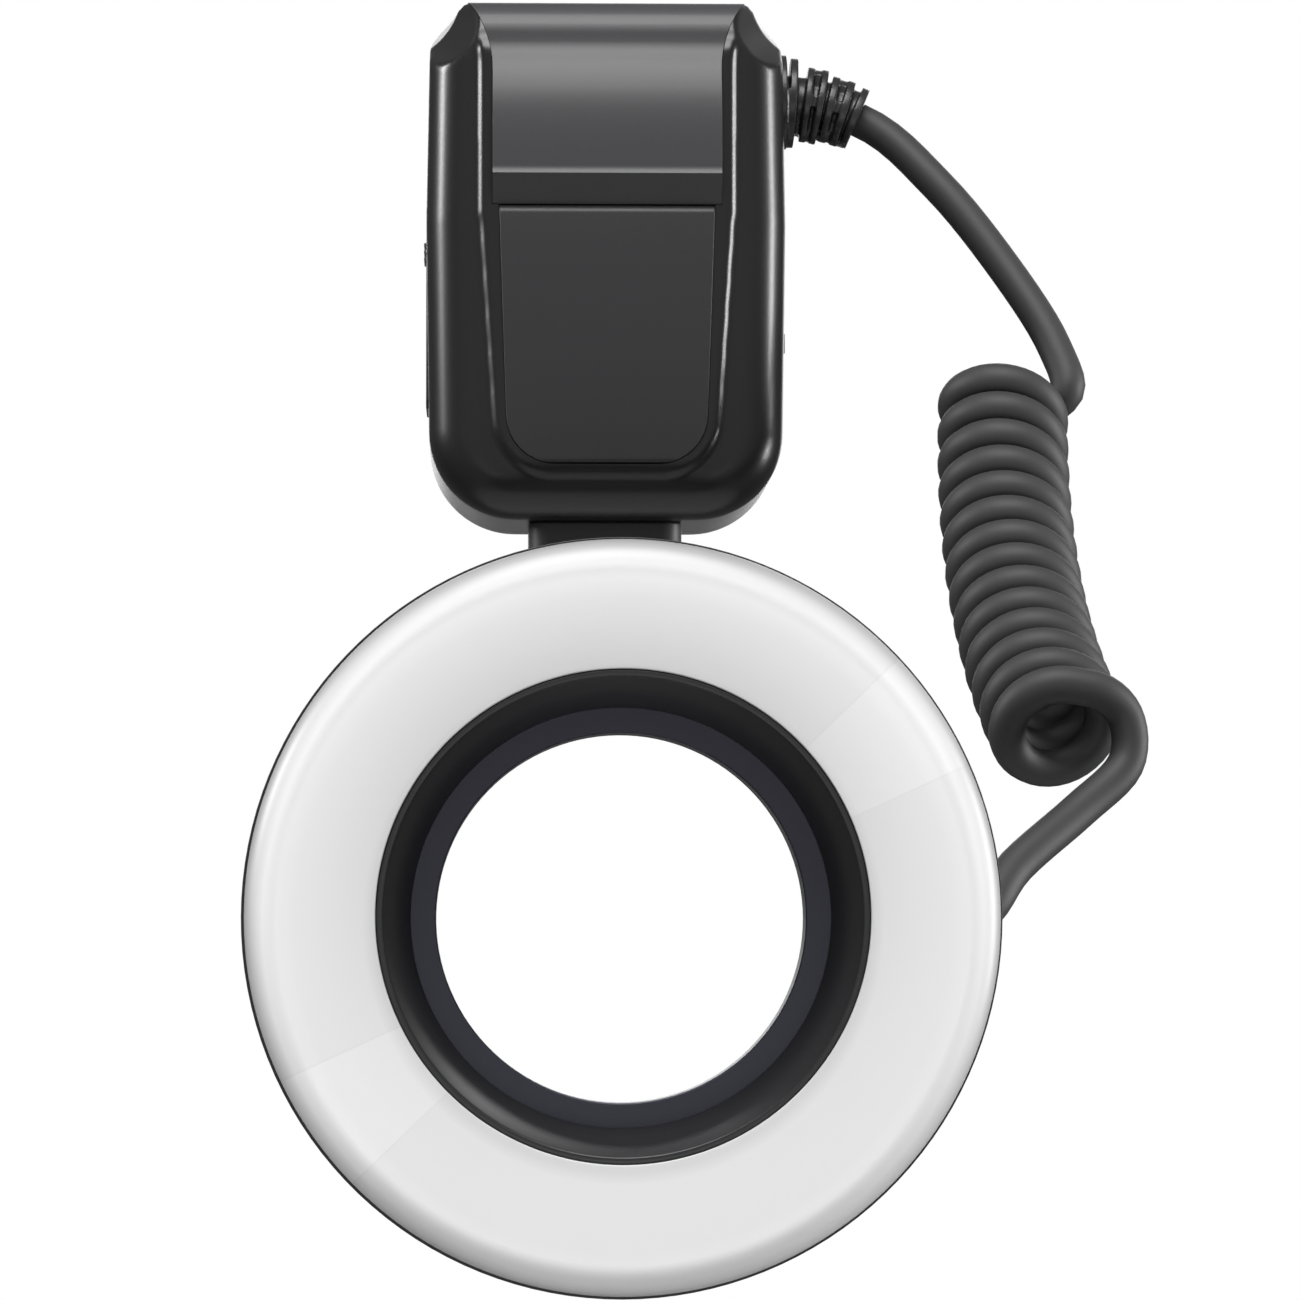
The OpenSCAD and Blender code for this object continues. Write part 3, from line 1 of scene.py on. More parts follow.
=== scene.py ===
import json
import math
import bpy
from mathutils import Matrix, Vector
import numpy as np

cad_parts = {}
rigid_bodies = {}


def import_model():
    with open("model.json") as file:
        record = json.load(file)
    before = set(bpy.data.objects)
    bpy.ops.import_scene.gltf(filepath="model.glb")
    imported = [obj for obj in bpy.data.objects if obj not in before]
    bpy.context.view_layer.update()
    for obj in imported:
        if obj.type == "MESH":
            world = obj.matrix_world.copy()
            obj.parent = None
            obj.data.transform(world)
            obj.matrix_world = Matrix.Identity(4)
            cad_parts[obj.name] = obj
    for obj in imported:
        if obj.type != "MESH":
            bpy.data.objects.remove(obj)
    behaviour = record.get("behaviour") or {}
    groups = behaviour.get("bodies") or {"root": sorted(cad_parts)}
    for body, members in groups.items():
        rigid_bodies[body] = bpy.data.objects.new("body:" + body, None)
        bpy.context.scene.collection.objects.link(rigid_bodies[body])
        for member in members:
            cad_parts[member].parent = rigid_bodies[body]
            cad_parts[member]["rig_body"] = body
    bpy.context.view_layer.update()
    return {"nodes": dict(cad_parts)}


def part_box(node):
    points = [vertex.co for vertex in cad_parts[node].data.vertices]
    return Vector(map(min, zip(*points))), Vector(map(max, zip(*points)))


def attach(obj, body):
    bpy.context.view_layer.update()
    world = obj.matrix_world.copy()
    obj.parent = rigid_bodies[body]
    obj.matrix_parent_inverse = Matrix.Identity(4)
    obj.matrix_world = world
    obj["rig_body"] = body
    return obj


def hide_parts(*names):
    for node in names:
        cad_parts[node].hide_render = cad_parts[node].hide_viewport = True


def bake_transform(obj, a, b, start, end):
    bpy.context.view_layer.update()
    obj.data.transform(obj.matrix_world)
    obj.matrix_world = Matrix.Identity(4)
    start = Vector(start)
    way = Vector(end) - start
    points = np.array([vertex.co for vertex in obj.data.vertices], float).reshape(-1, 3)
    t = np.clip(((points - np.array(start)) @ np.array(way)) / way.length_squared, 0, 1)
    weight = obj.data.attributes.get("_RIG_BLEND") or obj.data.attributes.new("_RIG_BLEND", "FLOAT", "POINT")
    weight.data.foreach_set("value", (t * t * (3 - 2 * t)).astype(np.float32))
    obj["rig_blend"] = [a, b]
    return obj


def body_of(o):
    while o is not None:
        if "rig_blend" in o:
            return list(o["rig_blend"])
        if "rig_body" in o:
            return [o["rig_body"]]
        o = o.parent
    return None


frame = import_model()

nodes = frame["nodes"]
mm = 0.001
print("frame loaded,", len(nodes), "nodes")


# small helpers
def pick(*objs):
    if bpy.context.object and bpy.context.object.mode != "OBJECT":
        bpy.ops.object.mode_set(mode="OBJECT")
    bpy.ops.object.select_all(action="DESELECT")
    for obj in objs:
        obj.select_set(True)
    if objs:
        bpy.context.view_layer.objects.active = objs[0]


def named(name):
    obj = bpy.context.object
    obj.name = name
    obj.data.name = name
    return obj


def applied(obj):   # place and modifiers go into the mesh
    pick(obj)
    bpy.ops.object.transform_apply(location=True, rotation=True, scale=True)
    for mod in list(obj.modifiers):
        bpy.ops.object.modifier_apply(modifier=mod.name)
    return obj


def combine(obj, other, how):
    mod = obj.modifiers.new("cut", "BOOLEAN")
    mod.operation = how
    mod.solver = "MANIFOLD"
    mod.object = other
    applied(obj)
    bpy.data.objects.remove(other)
    return obj


def copied(obj, name):
    new = obj.copy()
    new.data = obj.data.copy()
    new.name = name
    new.data.name = name
    bpy.context.collection.objects.link(new)
    return new


def bevelEdges(obj, wanted, width, segments):   # wanted says which edges, from their two ends
    pick(obj)
    bpy.ops.object.mode_set(mode="EDIT")
    bpy.ops.mesh.select_mode(type="EDGE")
    bpy.ops.mesh.select_all(action="DESELECT")
    bpy.ops.object.mode_set(mode="OBJECT")
    for edge in obj.data.edges:
        a, b = (obj.data.vertices[v].co for v in edge.vertices)
        edge.select = wanted(a, b)
    bpy.ops.object.mode_set(mode="EDIT")
    bpy.ops.mesh.bevel(offset=width, segments=segments, affect="EDGES")
    bpy.ops.object.mode_set(mode="OBJECT")


def block(low, high, rounding=0, axis=1):   # box between two corners, its edges along one axis rounded
    bpy.ops.object.select_all(action="DESELECT")
    bpy.ops.mesh.primitive_cube_add(size=1, location=[(a + b) / 2 for a, b in zip(low, high)],
                                    scale=[b - a for a, b in zip(low, high)])
    obj = applied(named("cutter"))
    if rounding:
        bevelEdges(obj, lambda a, b: abs((a - b)[axis]) > 0.9 * (high[axis] - low[axis]), rounding, 5)
    return obj


def rod(middle, radius, length, turn, sides=96):   # cylinder about a point, turned from +Z
    pick()
    bpy.ops.mesh.primitive_cylinder_add(vertices=sides, radius=radius, depth=length,
                                        location=middle, rotation=turn)
    return applied(named("cutter"))


def prism(points, axis, low, high):   # outline pushed along X or Y
    if axis == "x":
        verts, push = [(low, a, b) for a, b in points], (high - low, 0, 0)
    else:
        verts, push = [(a, low, b) for a, b in points], (0, high - low, 0)
    mesh = bpy.data.meshes.new("cutter")
    mesh.from_pydata(verts, [], [range(len(verts))])
    obj = bpy.data.objects.new("cutter", mesh)
    bpy.context.collection.objects.link(obj)
    pick(obj)
    bpy.ops.object.mode_set(mode="EDIT")
    bpy.ops.mesh.select_all(action="SELECT")
    bpy.ops.mesh.extrude_region_move(TRANSFORM_OT_translate={"value": push})
    bpy.ops.mesh.select_all(action="SELECT")
    bpy.ops.mesh.normals_make_consistent(inside=False)
    bpy.ops.object.mode_set(mode="OBJECT")
    return obj


def moulded(obj, voxel, rounds):   # even mesh, edges melted
    mod = obj.modifiers.new("voxels", "REMESH")
    mod.mode = "VOXEL"
    mod.voxel_size = voxel * mm
    mod = obj.modifiers.new("soften", "SMOOTH")
    mod.factor = 0.5
    mod.iterations = rounds
    return applied(obj)


def arc(x, y, r, a0, a1, n):
    return [(x + r * math.cos(math.radians(a0 + (a1 - a0) * i / n)),
             y + r * math.sin(math.radians(a0 + (a1 - a0) * i / n))) for i in range(n + 1)]


def bend(p, q, r, n):   # quadratic curve without its first point
    ts = [i / n for i in range(1, n + 1)]
    return [tuple(a * (1 - t) ** 2 + 2 * b * t * (1 - t) + c * t * t for a, b, c in zip(p, q, r)) for t in ts]


# materials
def hexColour(code):
    channels = [int(code[i:i + 2], 16) / 255 for i in (1, 3, 5)]
    return [c / 12.92 if c <= 0.04045 else ((c + 0.055) / 1.055) ** 2.4 for c in channels] + [1]


def addNode(mat, kind, links=(), **values):
    tree = mat.node_tree
    node = tree.nodes.new(kind)
    for key, value in values.items():
        if hasattr(node, key) and key not in node.inputs:
            setattr(node, key, value)
        else:
            node.inputs[key.replace("_", " ")].default_value = value
    for source, target in links:
        tree.links.new(source, node.inputs[target])
    return node


def finish(name, colour, roughness, metallic=0.0, grain=0.5, ridge=0.1, bump=0.05, tone=0.12, swing=0.04):
    # grain and ridge in mm, drawn coarser than moulded grain so that they show;
    # tone and swing are how far colour and roughness wander with it
    mat = bpy.data.materials.new(name)
    mat.use_nodes = True
    shader = mat.node_tree.nodes["Principled BSDF"]
    shader.inputs["Metallic"].default_value = metallic
    place = addNode(mat, "ShaderNodeTexCoord")
    noise = addNode(mat, "ShaderNodeTexNoise", [(place.outputs["Object"], "Vector")],
                    Scale=1 / (grain * mm), Detail=3.0)
    dark = [c * (1 - tone) for c in hexColour(colour)[:3]] + [1]
    light = [min(1, c * (1 + tone)) for c in hexColour(colour)[:3]] + [1]
    mix = addNode(mat, "ShaderNodeMix", [(noise.outputs["Fac"], "Factor")], data_type="RGBA")
    mix.inputs[6].default_value = dark
    mix.inputs[7].default_value = light
    mat.node_tree.links.new(mix.outputs[2], shader.inputs["Base Color"])
    rough = addNode(mat, "ShaderNodeMapRange", [(noise.outputs["Fac"], "Value")])
    rough.inputs["To Min"].default_value = roughness - swing
    rough.inputs["To Max"].default_value = roughness + swing
    mat.node_tree.links.new(rough.outputs["Result"], shader.inputs["Roughness"])
    ridges = addNode(mat, "ShaderNodeBump", [(noise.outputs["Fac"], "Height")],
                     Strength=bump, Distance=ridge * mm)
    mat.node_tree.links.new(ridges.outputs["Normal"], shader.inputs["Normal"])
    return mat


shellPlastic = finish("spark-eroded ABS", "#131314", 0.3)   # fine moulded grain, soft sheen
browPlastic = finish("satin ABS", "#38383a", 0.44)   # charcoal, a broad dull highlight
panelPlastic = finish("smooth black ABS", "#242426", 0.45)   # even black with a faint sheen
reliefRubber = finish("moulded rubber", "#1d1d1e", 0.36)   # black, a little shiny on its ribs
cordRubber = finish("polyurethane jacket", "#2e2e2f", 0.6)   # matt dark grey, no sharp glints
footPlastic = finish("matt ABS", "#2e2e30", 0.5)   # dull, greyer than the housing
casePlastic = finish("black ABS", "#1c1c1d", 0.45)   # plain black, soft edges of light
hoodPlastic = finish("satin black polycarbonate", "#222224", 0.36)   # dark and smooth, light falls off slowly
keyRubber = finish("silicone keypad", "#3a3a3d", 0.6)   # soft dark grey
dialPlastic = finish("ribbed ABS", "#262628", 0.4)   # black, the ribs catch the light
testPlastic = finish("red tinted acrylic", "#8c1f1f", 0.25)   # deep red gloss
latchPlastic = finish("grey ABS", "#4c4c50", 0.45)   # mid grey, dull
steel = finish("bright steel", "#b9b9bc", 0.3, metallic=1, tone=0.05)   # clear but soft reflections
gold = finish("gold plating", "#d9b45a", 0.25, metallic=1, tone=0.05)   # warm bright contacts
alloy = finish("anodised aluminium", "#43434b", 0.42, metallic=1, tone=0.06)   # dark grey, soft metal sheen
windowGlass = finish("smoked acrylic", "#14181a", 0.08, tone=0.02, bump=0.0)   # near black gloss
innerMetal = finish("vapour-coated reflector", "#e4e4e6", 0.2, metallic=1, tone=0.03)   # bright mirror
boardGreen = finish("solder mask", "#1d5a38", 0.4)   # satin green

# opal acrylic, milky, with painted shade and light: it passes light on, so its colour is painted greyer by
# the opening, lightest just before the rounded edge and darker on that edge
# the painted tones are measured from a centre 1.2 mm below the ring's axis, so the upper edge is painted
# darker against the key light from above and the lower edge lighter
opal = {"paintedShades": [(42.3, "#dcdcdc"), (44.5, "#ececec"), (51, "#f2f2f2"), (56, "#f6f6f6"), (59, "#fcfcfc"),
                  (61.5, "#f0f0f0"), (63, "#cfcfcf"), (64.5, "#aaaaaa"), (65.7, "#929292")],
        # lamp sectors: their painted light, and the painted shade of their edge lines
        "lampTurn": 34.3, "lampHalf": 9.6, "paintedSectorLight": 1.05, "line": 0.16, "paintedSectorEdge": 0.95, "axis": -65.2,
        "blur": 0.3, "roughness": 0.42}


def opalAcrylic():
    mat = bpy.data.materials.new("opal acrylic")
    mat.use_nodes = True
    shader = mat.node_tree.nodes["Principled BSDF"]
    shader.inputs["Roughness"].default_value = opal["roughness"]
    place = addNode(mat, "ShaderNodeTexCoord")
    parts = addNode(mat, "ShaderNodeSeparateXYZ", [(place.outputs["Object"], 0)])
    # height over that lowered centre, which paints the upper edge darker
    up = addNode(mat, "ShaderNodeMath", [(parts.outputs["Z"], 0)], operation="SUBTRACT")
    up.inputs[1].default_value = opal["axis"] * mm
    flat = addNode(mat, "ShaderNodeCombineXYZ", [(parts.outputs["X"], "X"), (up.outputs[0], "Y")])
    radius = addNode(mat, "ShaderNodeVectorMath", [(flat.outputs[0], 0)], operation="LENGTH")
    # painted shade and light across the radius, from the painted tones
    first, last = opal["paintedShades"][0][0], opal["paintedShades"][-1][0]
    share = addNode(mat, "ShaderNodeMapRange", [(radius.outputs["Value"], "Value")])
    share.inputs["From Min"].default_value = first * mm
    share.inputs["From Max"].default_value = last * mm
    ramp = addNode(mat, "ShaderNodeValToRGB", [(share.outputs["Result"], "Fac")])
    stops = ramp.color_ramp.elements
    while len(stops) < len(opal["paintedShades"]):
        stops.new(0.5)
    for stop, (r, colour) in zip(stops, opal["paintedShades"]):
        stop.position = (r - first) / (last - first)
        stop.color = hexColour(colour)
    # painted light: the two lamp chambers behind show through as lighter sectors, with fine lines of painted
    # shade at their edges
    turn = addNode(mat, "ShaderNodeMath", [(up.outputs[0], 0), (parts.outputs["X"], 1)], operation="ARCTAN2")
    half = addNode(mat, "ShaderNodeMath", [(turn.outputs[0], 0)], operation="SUBTRACT")
    half.inputs[1].default_value = math.radians(opal["lampTurn"] - 90)
    wrapped = addNode(mat, "ShaderNodeMath", [(half.outputs[0], 0)], operation="FLOORED_MODULO")
    wrapped.inputs[1].default_value = math.pi
    off = addNode(mat, "ShaderNodeMath", [(wrapped.outputs[0], 0)], operation="SUBTRACT")
    off.inputs[1].default_value = math.pi / 2
    away = addNode(mat, "ShaderNodeMath", [(off.outputs[0], 0)], operation="ABSOLUTE")
    tone = addNode(mat, "ShaderNodeMapRange", [(away.outputs[0], "Value")])
    tone.inputs["From Min"].default_value = math.radians(opal["lampHalf"] - opal["blur"])
    tone.inputs["From Max"].default_value = math.radians(opal["lampHalf"] + opal["blur"])
    tone.inputs["To Min"].default_value = opal["paintedSectorLight"]
    tone.inputs["To Max"].default_value = 1
    edge = addNode(mat, "ShaderNodeMath", [(away.outputs[0], 0)], operation="COMPARE")
    edge.inputs[1].default_value = math.radians(opal["lampHalf"])
    edge.inputs[2].default_value = math.radians(opal["line"])
    dim = addNode(mat, "ShaderNodeMapRange", [(edge.outputs[0], "Value")])
    dim.inputs["To Min"].default_value = 1
    dim.inputs["To Max"].default_value = opal["paintedSectorEdge"]
    both = addNode(mat, "ShaderNodeMath", [(tone.outputs["Result"], 0), (dim.outputs["Result"], 1)],
                   operation="MULTIPLY")
    tinted = addNode(mat, "ShaderNodeVectorMath", [(ramp.outputs["Color"], 0), (both.outputs[0], 1)],
                     operation="MULTIPLY")
    mat.node_tree.links.new(tinted.outputs[0], shader.inputs["Base Color"])
    return mat


diffuserAcrylic = opalAcrylic()
print("materials ready")


# camera
view = {"eye": (-24.1, -1214, -78.2), "aim": (6.4, -100, -14.6), "lens": 169.7}
cam = bpy.data.cameras.new("camera")
cam.lens = view["lens"]
cam.sensor_width = 36
cam.clip_end = 20
camera = bpy.data.objects.new("camera", cam)
bpy.context.collection.objects.link(camera)
camera.location = Vector(view["eye"]) * mm
camera.rotation_euler = (Vector(view["aim"]) - Vector(view["eye"])).to_track_quat("-Z", "Y").to_euler()
scene = bpy.context.scene
scene.camera = camera
scene.render.resolution_x = 1300
scene.render.resolution_y = 1300
scene.view_settings.view_transform = "Standard"


# cord: lead, curls and tail in one length
cordFacts = {"diameter": 6.8, "curlRadius": 9.3, "curls": 14, "startTurn": 40, "endTurn": -80,
             "lead": [(66, -8, 83), (79, -16, 65), (87.5, -25, 49)],
             "axis": [(77, -30, 39), (73, -62, -4), (80, -113, -30)],
             "tail": [(91.5, -114.5, -27), (91.5, -115, -36), (82.5, -120.5, -44.5), (70.5, -130, -54.5)],
             "exit": (50.6, 0, 97.23), "exitDir": (0.921, 0, -0.391),
             "entry": (62.92, -136.55, -63.81), "entryDir": (-0.809, 0, -0.588),
             "curlSteps": 560, "routeSteps": 6}


def curlPoint(t):   # on the curls, at share t of their run
    a, b, c = (Vector(p) for p in cordFacts["axis"])
    along = ((b - a) * (1 - t) + (c - b) * t).normalized()
    e = (Vector((1, 0, 0)) - along * along.x).normalized()
    f = e.cross(along)
    total = 360 * cordFacts["curls"] + cordFacts["endTurn"] - cordFacts["startTurn"]
    w = math.radians(cordFacts["startTurn"] + total * t)
    middle = a * (1 - t) ** 2 + b * 2 * t * (1 - t) + c * t * t
    return middle + cordFacts["curlRadius"] * (e * math.cos(w) + f * math.sin(w))


def curlDir(t):
    return (curlPoint(t + 0.0002) - curlPoint(t - 0.0002)).normalized()


def route(points, start, end, steps):   # smooth line through points, leaving and arriving in given directions
    points = [Vector(p) for p in points]
    last = len(points) - 1
    slopes = [Vector(start) * (points[1] - points[0]).length]
    slopes += [(points[i + 1] - points[i - 1]) / 2 for i in range(1, last)]
    slopes += [Vector(end) * (points[last] - points[last - 1]).length]
    line = []
    for i in range(last):
        for k in range(steps):
            t = k / steps
            line.append(points[i] * (1 + 2 * t) * (1 - t) ** 2 + slopes[i] * t * (1 - t) ** 2
                        + points[i + 1] * t * t * (3 - 2 * t) - slopes[i + 1] * t * t * (1 - t))
    return line + [points[last]]


firstCurl = curlPoint(0) - curlDir(0) * cordFacts["diameter"]
lastCurl = curlPoint(1) + curlDir(1) * cordFacts["diameter"] / 2
steps = cordFacts["routeSteps"]
lead = route([cordFacts["exit"]] + cordFacts["lead"] + [firstCurl], cordFacts["exitDir"], curlDir(0), steps)
curls = [curlPoint(i / cordFacts["curlSteps"]) for i in range(cordFacts["curlSteps"] + 1)]
tail = route([lastCurl] + cordFacts["tail"] + [cordFacts["entry"]], curlDir(1), cordFacts["entryDir"], steps)
cordPath = [p * mm for p in lead + curls + tail]

line = bpy.data.curves.new("cord", "CURVE")
line.dimensions = "3D"
spline = line.splines.new("POLY")
spline.points.add(len(cordPath) - 1)
for point, place in zip(spline.points, cordPath):
    point.co = (*place, 1)
line.bevel_depth = cordFacts["diameter"] / 2 * mm
line.bevel_resolution = 6
line.use_fill_caps = True
line.twist_mode = "MINIMUM"
cord = bpy.data.objects.new("cord", line)
bpy.context.collection.objects.link(cord)
pick(cord)
bpy.ops.object.convert(target="MESH")
cord = named("cord")
bpy.ops.object.shade_smooth()
cord.data.materials.clear()
cord.data.materials.append(cordRubber)
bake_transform(cord, "control_unit", "ring_head", start=[v * mm for v in cordFacts["axis"][0]],
         end=[v * mm for v in cordFacts["axis"][2]])
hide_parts("cord_lead", "cord_curl", "cord_tail")


# housing of the control unit
housing = {"half": 35.25, "side": 34.65, "deep": 28, "low": 15.5, "high": 117.1, "corner": 17, "shoulder": 9,
           "edge": 9, "waist": 73.5, "coveRadius": 14.4, "coveOut": 7.5, "coveUp": 8, "coveLean": 15,
           "coveLong": 200, "scoop": (19, 20, -20), "split": 11, "wall": 2.2, "voxel": 0.5, "soften": 9,
           "joint": 0.1, "spare": 0.02, "reach": 60}
reach = housing["reach"] * mm   # past the housing on any side


def pebble(x, z, r, g):   # rounded disc, g inside the outer skin
    pick()
    bpy.ops.mesh.primitive_cylinder_add(vertices=96, radius=(r - g) * mm,
                                        depth=2 * (housing["deep"] - g) * mm,
                                        location=(x * mm, 0, z * mm), rotation=(math.pi / 2, 0, 0))
    obj = applied(named("pebble"))
    edge = min(housing["edge"], r) - g - housing["spare"]
    bevelEdges(obj, lambda a, b: abs(a.y - b.y) < 1e-6, edge * mm, 12)
    return obj


def cutCoves(obj, g):   # hollows of the two top corners
    h = housing
    for s in (-1, 1):
        for lean, swing, y in ((0, 0, 0), (h["coveLean"], 0, 0), h["scoop"]):
            z = h["high"] + h["coveUp"] + y * math.tan(math.radians(h["coveLean"]))
            cove = rod((s * (h["half"] + h["coveOut"]) * mm, y * mm, z * mm),
                       (h["coveRadius"] + g) * mm, h["coveLong"] * mm,
                       (math.pi / 2 + math.radians(lean), 0, math.radians(-s * swing)))
            combine(obj, cove, "DIFFERENCE")
    return obj


def bodyForm(g):   # hull of six discs
    h = housing
    stones = []
    for s in (-1, 1):
        stones += [pebble(s * (h["side"] - h["corner"]), h["low"] + h["corner"], h["corner"], g),
                   pebble(s * (h["half"] - h["shoulder"]), h["waist"], h["shoulder"], g),
                   pebble(s * (h["side"] - h["shoulder"]), h["high"] - h["shoulder"], h["shoulder"], g)]
    pick(*stones)
    bpy.ops.object.join()
    obj = bpy.context.object
    bpy.ops.object.mode_set(mode="EDIT")
    bpy.ops.mesh.select_all(action="SELECT")
    bpy.ops.mesh.convex_hull()
    bpy.ops.object.mode_set(mode="OBJECT")
    return cutCoves(obj, g)


front = {"face": -28, "browHalf": 22.3, "flareHigh": 14.5, "flareRadius": 24, "stepLow": 76.3, "panelTop": 21,
         "panelLow": 19.6, "panelCorner": 9.5, "panelBottom": 25.7, "railWide": 1.8, "railRise": 1.5,
         "railRoot": 4, "railRun": 4, "railReach": 35, "railSteps": [(0.35, 0.8), (0.7, 0.4), (1, 0)],
         "crown": 105.5, "capIn": 0.8, "capRadius": 7.4, "recess": 0.8, "blockDeep": 10, "blockLow": 104.5,
         "seat": 0.1}


def browOutline(g):   # seen from the front, g wider all round
    a = math.degrees(math.asin(front["flareHigh"] / front["flareRadius"]))
    side = arc(front["browHalf"] + front["flareRadius"] + g, housing["high"] - front["flareHigh"],
               front["flareRadius"], 180, 180 - a, 16)
    side = [(front["browHalf"] + g, front["stepLow"] - g)] + side
    above = [(side[-1][0], housing["high"] + 1)]
    right = side + above
    return [(x * mm, z * mm) for x, z in right + [(-x, z) for x, z in reversed(right)]]


def panelOutline(g, top="panelTop"):
    r = front["panelCorner"] + g
    x, z = front["panelLow"] + g - r, front["panelBottom"] - g + r
    points = [(front[top] + g, front["stepLow"]), (-front[top] - g, front["stepLow"])]
    points += arc(-x, z, r, 180, 270, 16) + arc(x, z, r, 270, 360, 16)
    return [(a * mm, b * mm) for a, b in points]


def railProfile(share, grow):   # seen from the side: foot, face and rounded cap
    f = front
    rise = f["railRise"] * share
    low, face, high = f["panelBottom"] - f["railWide"] - grow, f["face"] - rise, housing["high"]
    half = rise / 2
    root = f["face"] + f["railRoot"]
    cap = f["face"] + f["capIn"] + f["capRadius"]
    points = [(root, low), (face + half, low)]
    points += bend((face + half, low), (face, low + half), (face, low + f["railRun"] * rise), 6)
    points += bend((face, f["crown"]), (face, high - f["capRadius"]), (cap, high), 12)
    points += [(cap + housing["wall"], high), (root, f["crown"])]
    return [(a * mm, b * mm) for a, b in points]


form = bodyForm(0)
for share, grow in front["railSteps"]:   # the rail's flank rises in steps, which the softening blends
    rail = prism(railProfile(share, grow), "x", -front["railReach"] * mm, front["railReach"] * mm)
    outline = prism(browOutline(front["railWide"] + grow), "y", -reach, 0)
    combine(outline, prism(panelOutline(front["railWide"] + grow, "browHalf"), "y", -reach, 0), "UNION")
    combine(rail, outline, "INTERSECT")
    combine(form, cutCoves(rail, 0), "UNION")
moulded(form, housing["voxel"], housing["soften"])
combine(form, bodyForm(housing["wall"]), "DIFFERENCE")
print("housing form:", len(form.data.polygons), "faces")

shells = []
for name, low, high in (("frontShell", -reach, (housing["split"] - housing["joint"]) * mm),
                        ("rearShell", (housing["split"] + housing["joint"]) * mm, reach)):
    half = copied(form, name)
    combine(half, block([-reach, low, 0], [reach, high, 3 * reach]), "INTERSECT")
    shells.append(half)
bpy.data.objects.remove(form)
frontShell, rearShell = shells

# front: seats of the two panels, battery bay, port, relief
openings = {"gap": 0.3, "bayIn": -26, "bayRound": 1.5, "portIn": 30.6, "reliefZ": 100.6,
            "reliefBores": [(6.5, 29.8), (9.5, 34.05)], "bore": 40}
recess = (front["face"] + front["recess"]) * mm
combine(frontShell, prism(browOutline(front["seat"]), "y", -reach, recess), "DIFFERENCE")
combine(frontShell, prism(panelOutline(front["seat"]), "y", -reach, recess), "DIFFERENCE")
depth = front["face"] + front["blockDeep"] + front["seat"]
pocket = prism(browOutline(front["seat"]), "y", -reach, depth * mm)
lowest = front["blockLow"] - front["seat"]
combine(pocket, block([-reach, -2 * reach, lowest * mm], [reach, 2 * reach, 3 * reach]), "INTERSECT")
combine(frontShell, pocket, "DIFFERENCE")
gap = openings["gap"] * mm
low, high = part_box("battery_pack")
combine(frontShell, block([-reach, low[1] - gap, low[2] - gap],
                          [openings["bayIn"] * mm, high[1] + gap, high[2] + gap],
                          openings["bayRound"] * mm, 0), "DIFFERENCE")
low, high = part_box("port_cover")
combine(frontShell, block([openings["portIn"] * mm, low[1] - gap, low[2] - gap],
                          [reach, high[1] + gap, high[2] + gap]), "DIFFERENCE")
for radius, start in openings["reliefBores"]:
    middle = ((start + openings["bore"] / 2) * mm, 0, openings["reliefZ"] * mm)
    combine(frontShell, rod(middle, radius * mm, openings["bore"] * mm, (0, math.pi / 2, 0)), "DIFFERENCE")

# back: window, keys, dial, switch, screws
window = {"gap": 0.1, "seat": 27, "lip": 2.5, "corner": 1}
keys = {"width": 9, "high": 4.2, "pitch": 12, "z": 69.5, "sideWidth": 6.6, "sideHigh": 5.6, "sideX": 21,
        "dialZ": 47.5, "sideUp": 7.4, "gap": 0.3, "corner": 1, "testRadius": 3.2, "hubRadius": 9,
        "switchZ": 28.1, "switchWidth": 12.2, "switchHigh": 3.6, "screwX": 22, "screwZ": 29.1,
        "screwRadius": 2.5, "screwSeat": 26.5, "inside": 20}


def backHole(lowX, lowZ, highX, highZ, start, corner=0):   # all in metres
    combine(rearShell, block([lowX, start, lowZ], [highX, reach, highZ], corner), "DIFFERENCE")


def keyHole(x, z, w, h):
    w, h = w / 2 + keys["gap"], h / 2 + keys["gap"]
    backHole((x - w) * mm, (z - h) * mm, (x + w) * mm, (z + h) * mm, keys["inside"] * mm, keys["corner"] * mm)


low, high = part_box("lcd_window")
for inset, start, corner in ((-window["gap"], window["seat"], window["corner"]),
                             (window["lip"], keys["inside"], 0)):
    backHole(low[0] + inset * mm, low[2] + inset * mm, high[0] - inset * mm, high[2] - inset * mm,
             start * mm, corner * mm)
for i in range(4):
    keyHole((i - 1.5) * keys["pitch"], keys["z"], keys["width"], keys["high"])
for s, t in ((-1, 1), (1, 1), (-1, -1)):
    keyHole(s * keys["sideX"], keys["dialZ"] + t * keys["sideUp"], keys["sideWidth"], keys["sideHigh"])
keyHole(0, keys["switchZ"], keys["switchWidth"], keys["switchHigh"])
testZ = keys["dialZ"] - keys["sideUp"]
for x, z, r, y in ((keys["sideX"], testZ, keys["testRadius"] + keys["gap"], keys["inside"]),
                   (0, keys["dialZ"], keys["hubRadius"] + keys["gap"], keys["inside"]),
                   (-keys["screwX"], keys["screwZ"], keys["screwRadius"], keys["screwSeat"]),
                   (keys["screwX"], keys["screwZ"], keys["screwRadius"], keys["screwSeat"])):
    middle = (x * mm, (y + openings["bore"] / 2) * mm, z * mm)
    combine(rearShell, rod(middle, r * mm, openings["bore"] * mm, (math.pi / 2, 0, 0)), "DIFFERENCE")

for shell, node in ((frontShell, "front_shell"), (rearShell, "rear_shell")):
    pick(shell)
    bpy.ops.object.shade_smooth_by_angle(angle=math.radians(38))
    shell.data.materials.clear()
    shell.data.materials.append(shellPlastic)
    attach(shell, "control_unit")
    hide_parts(node)
    print(node, len(shell.data.polygons), "faces")


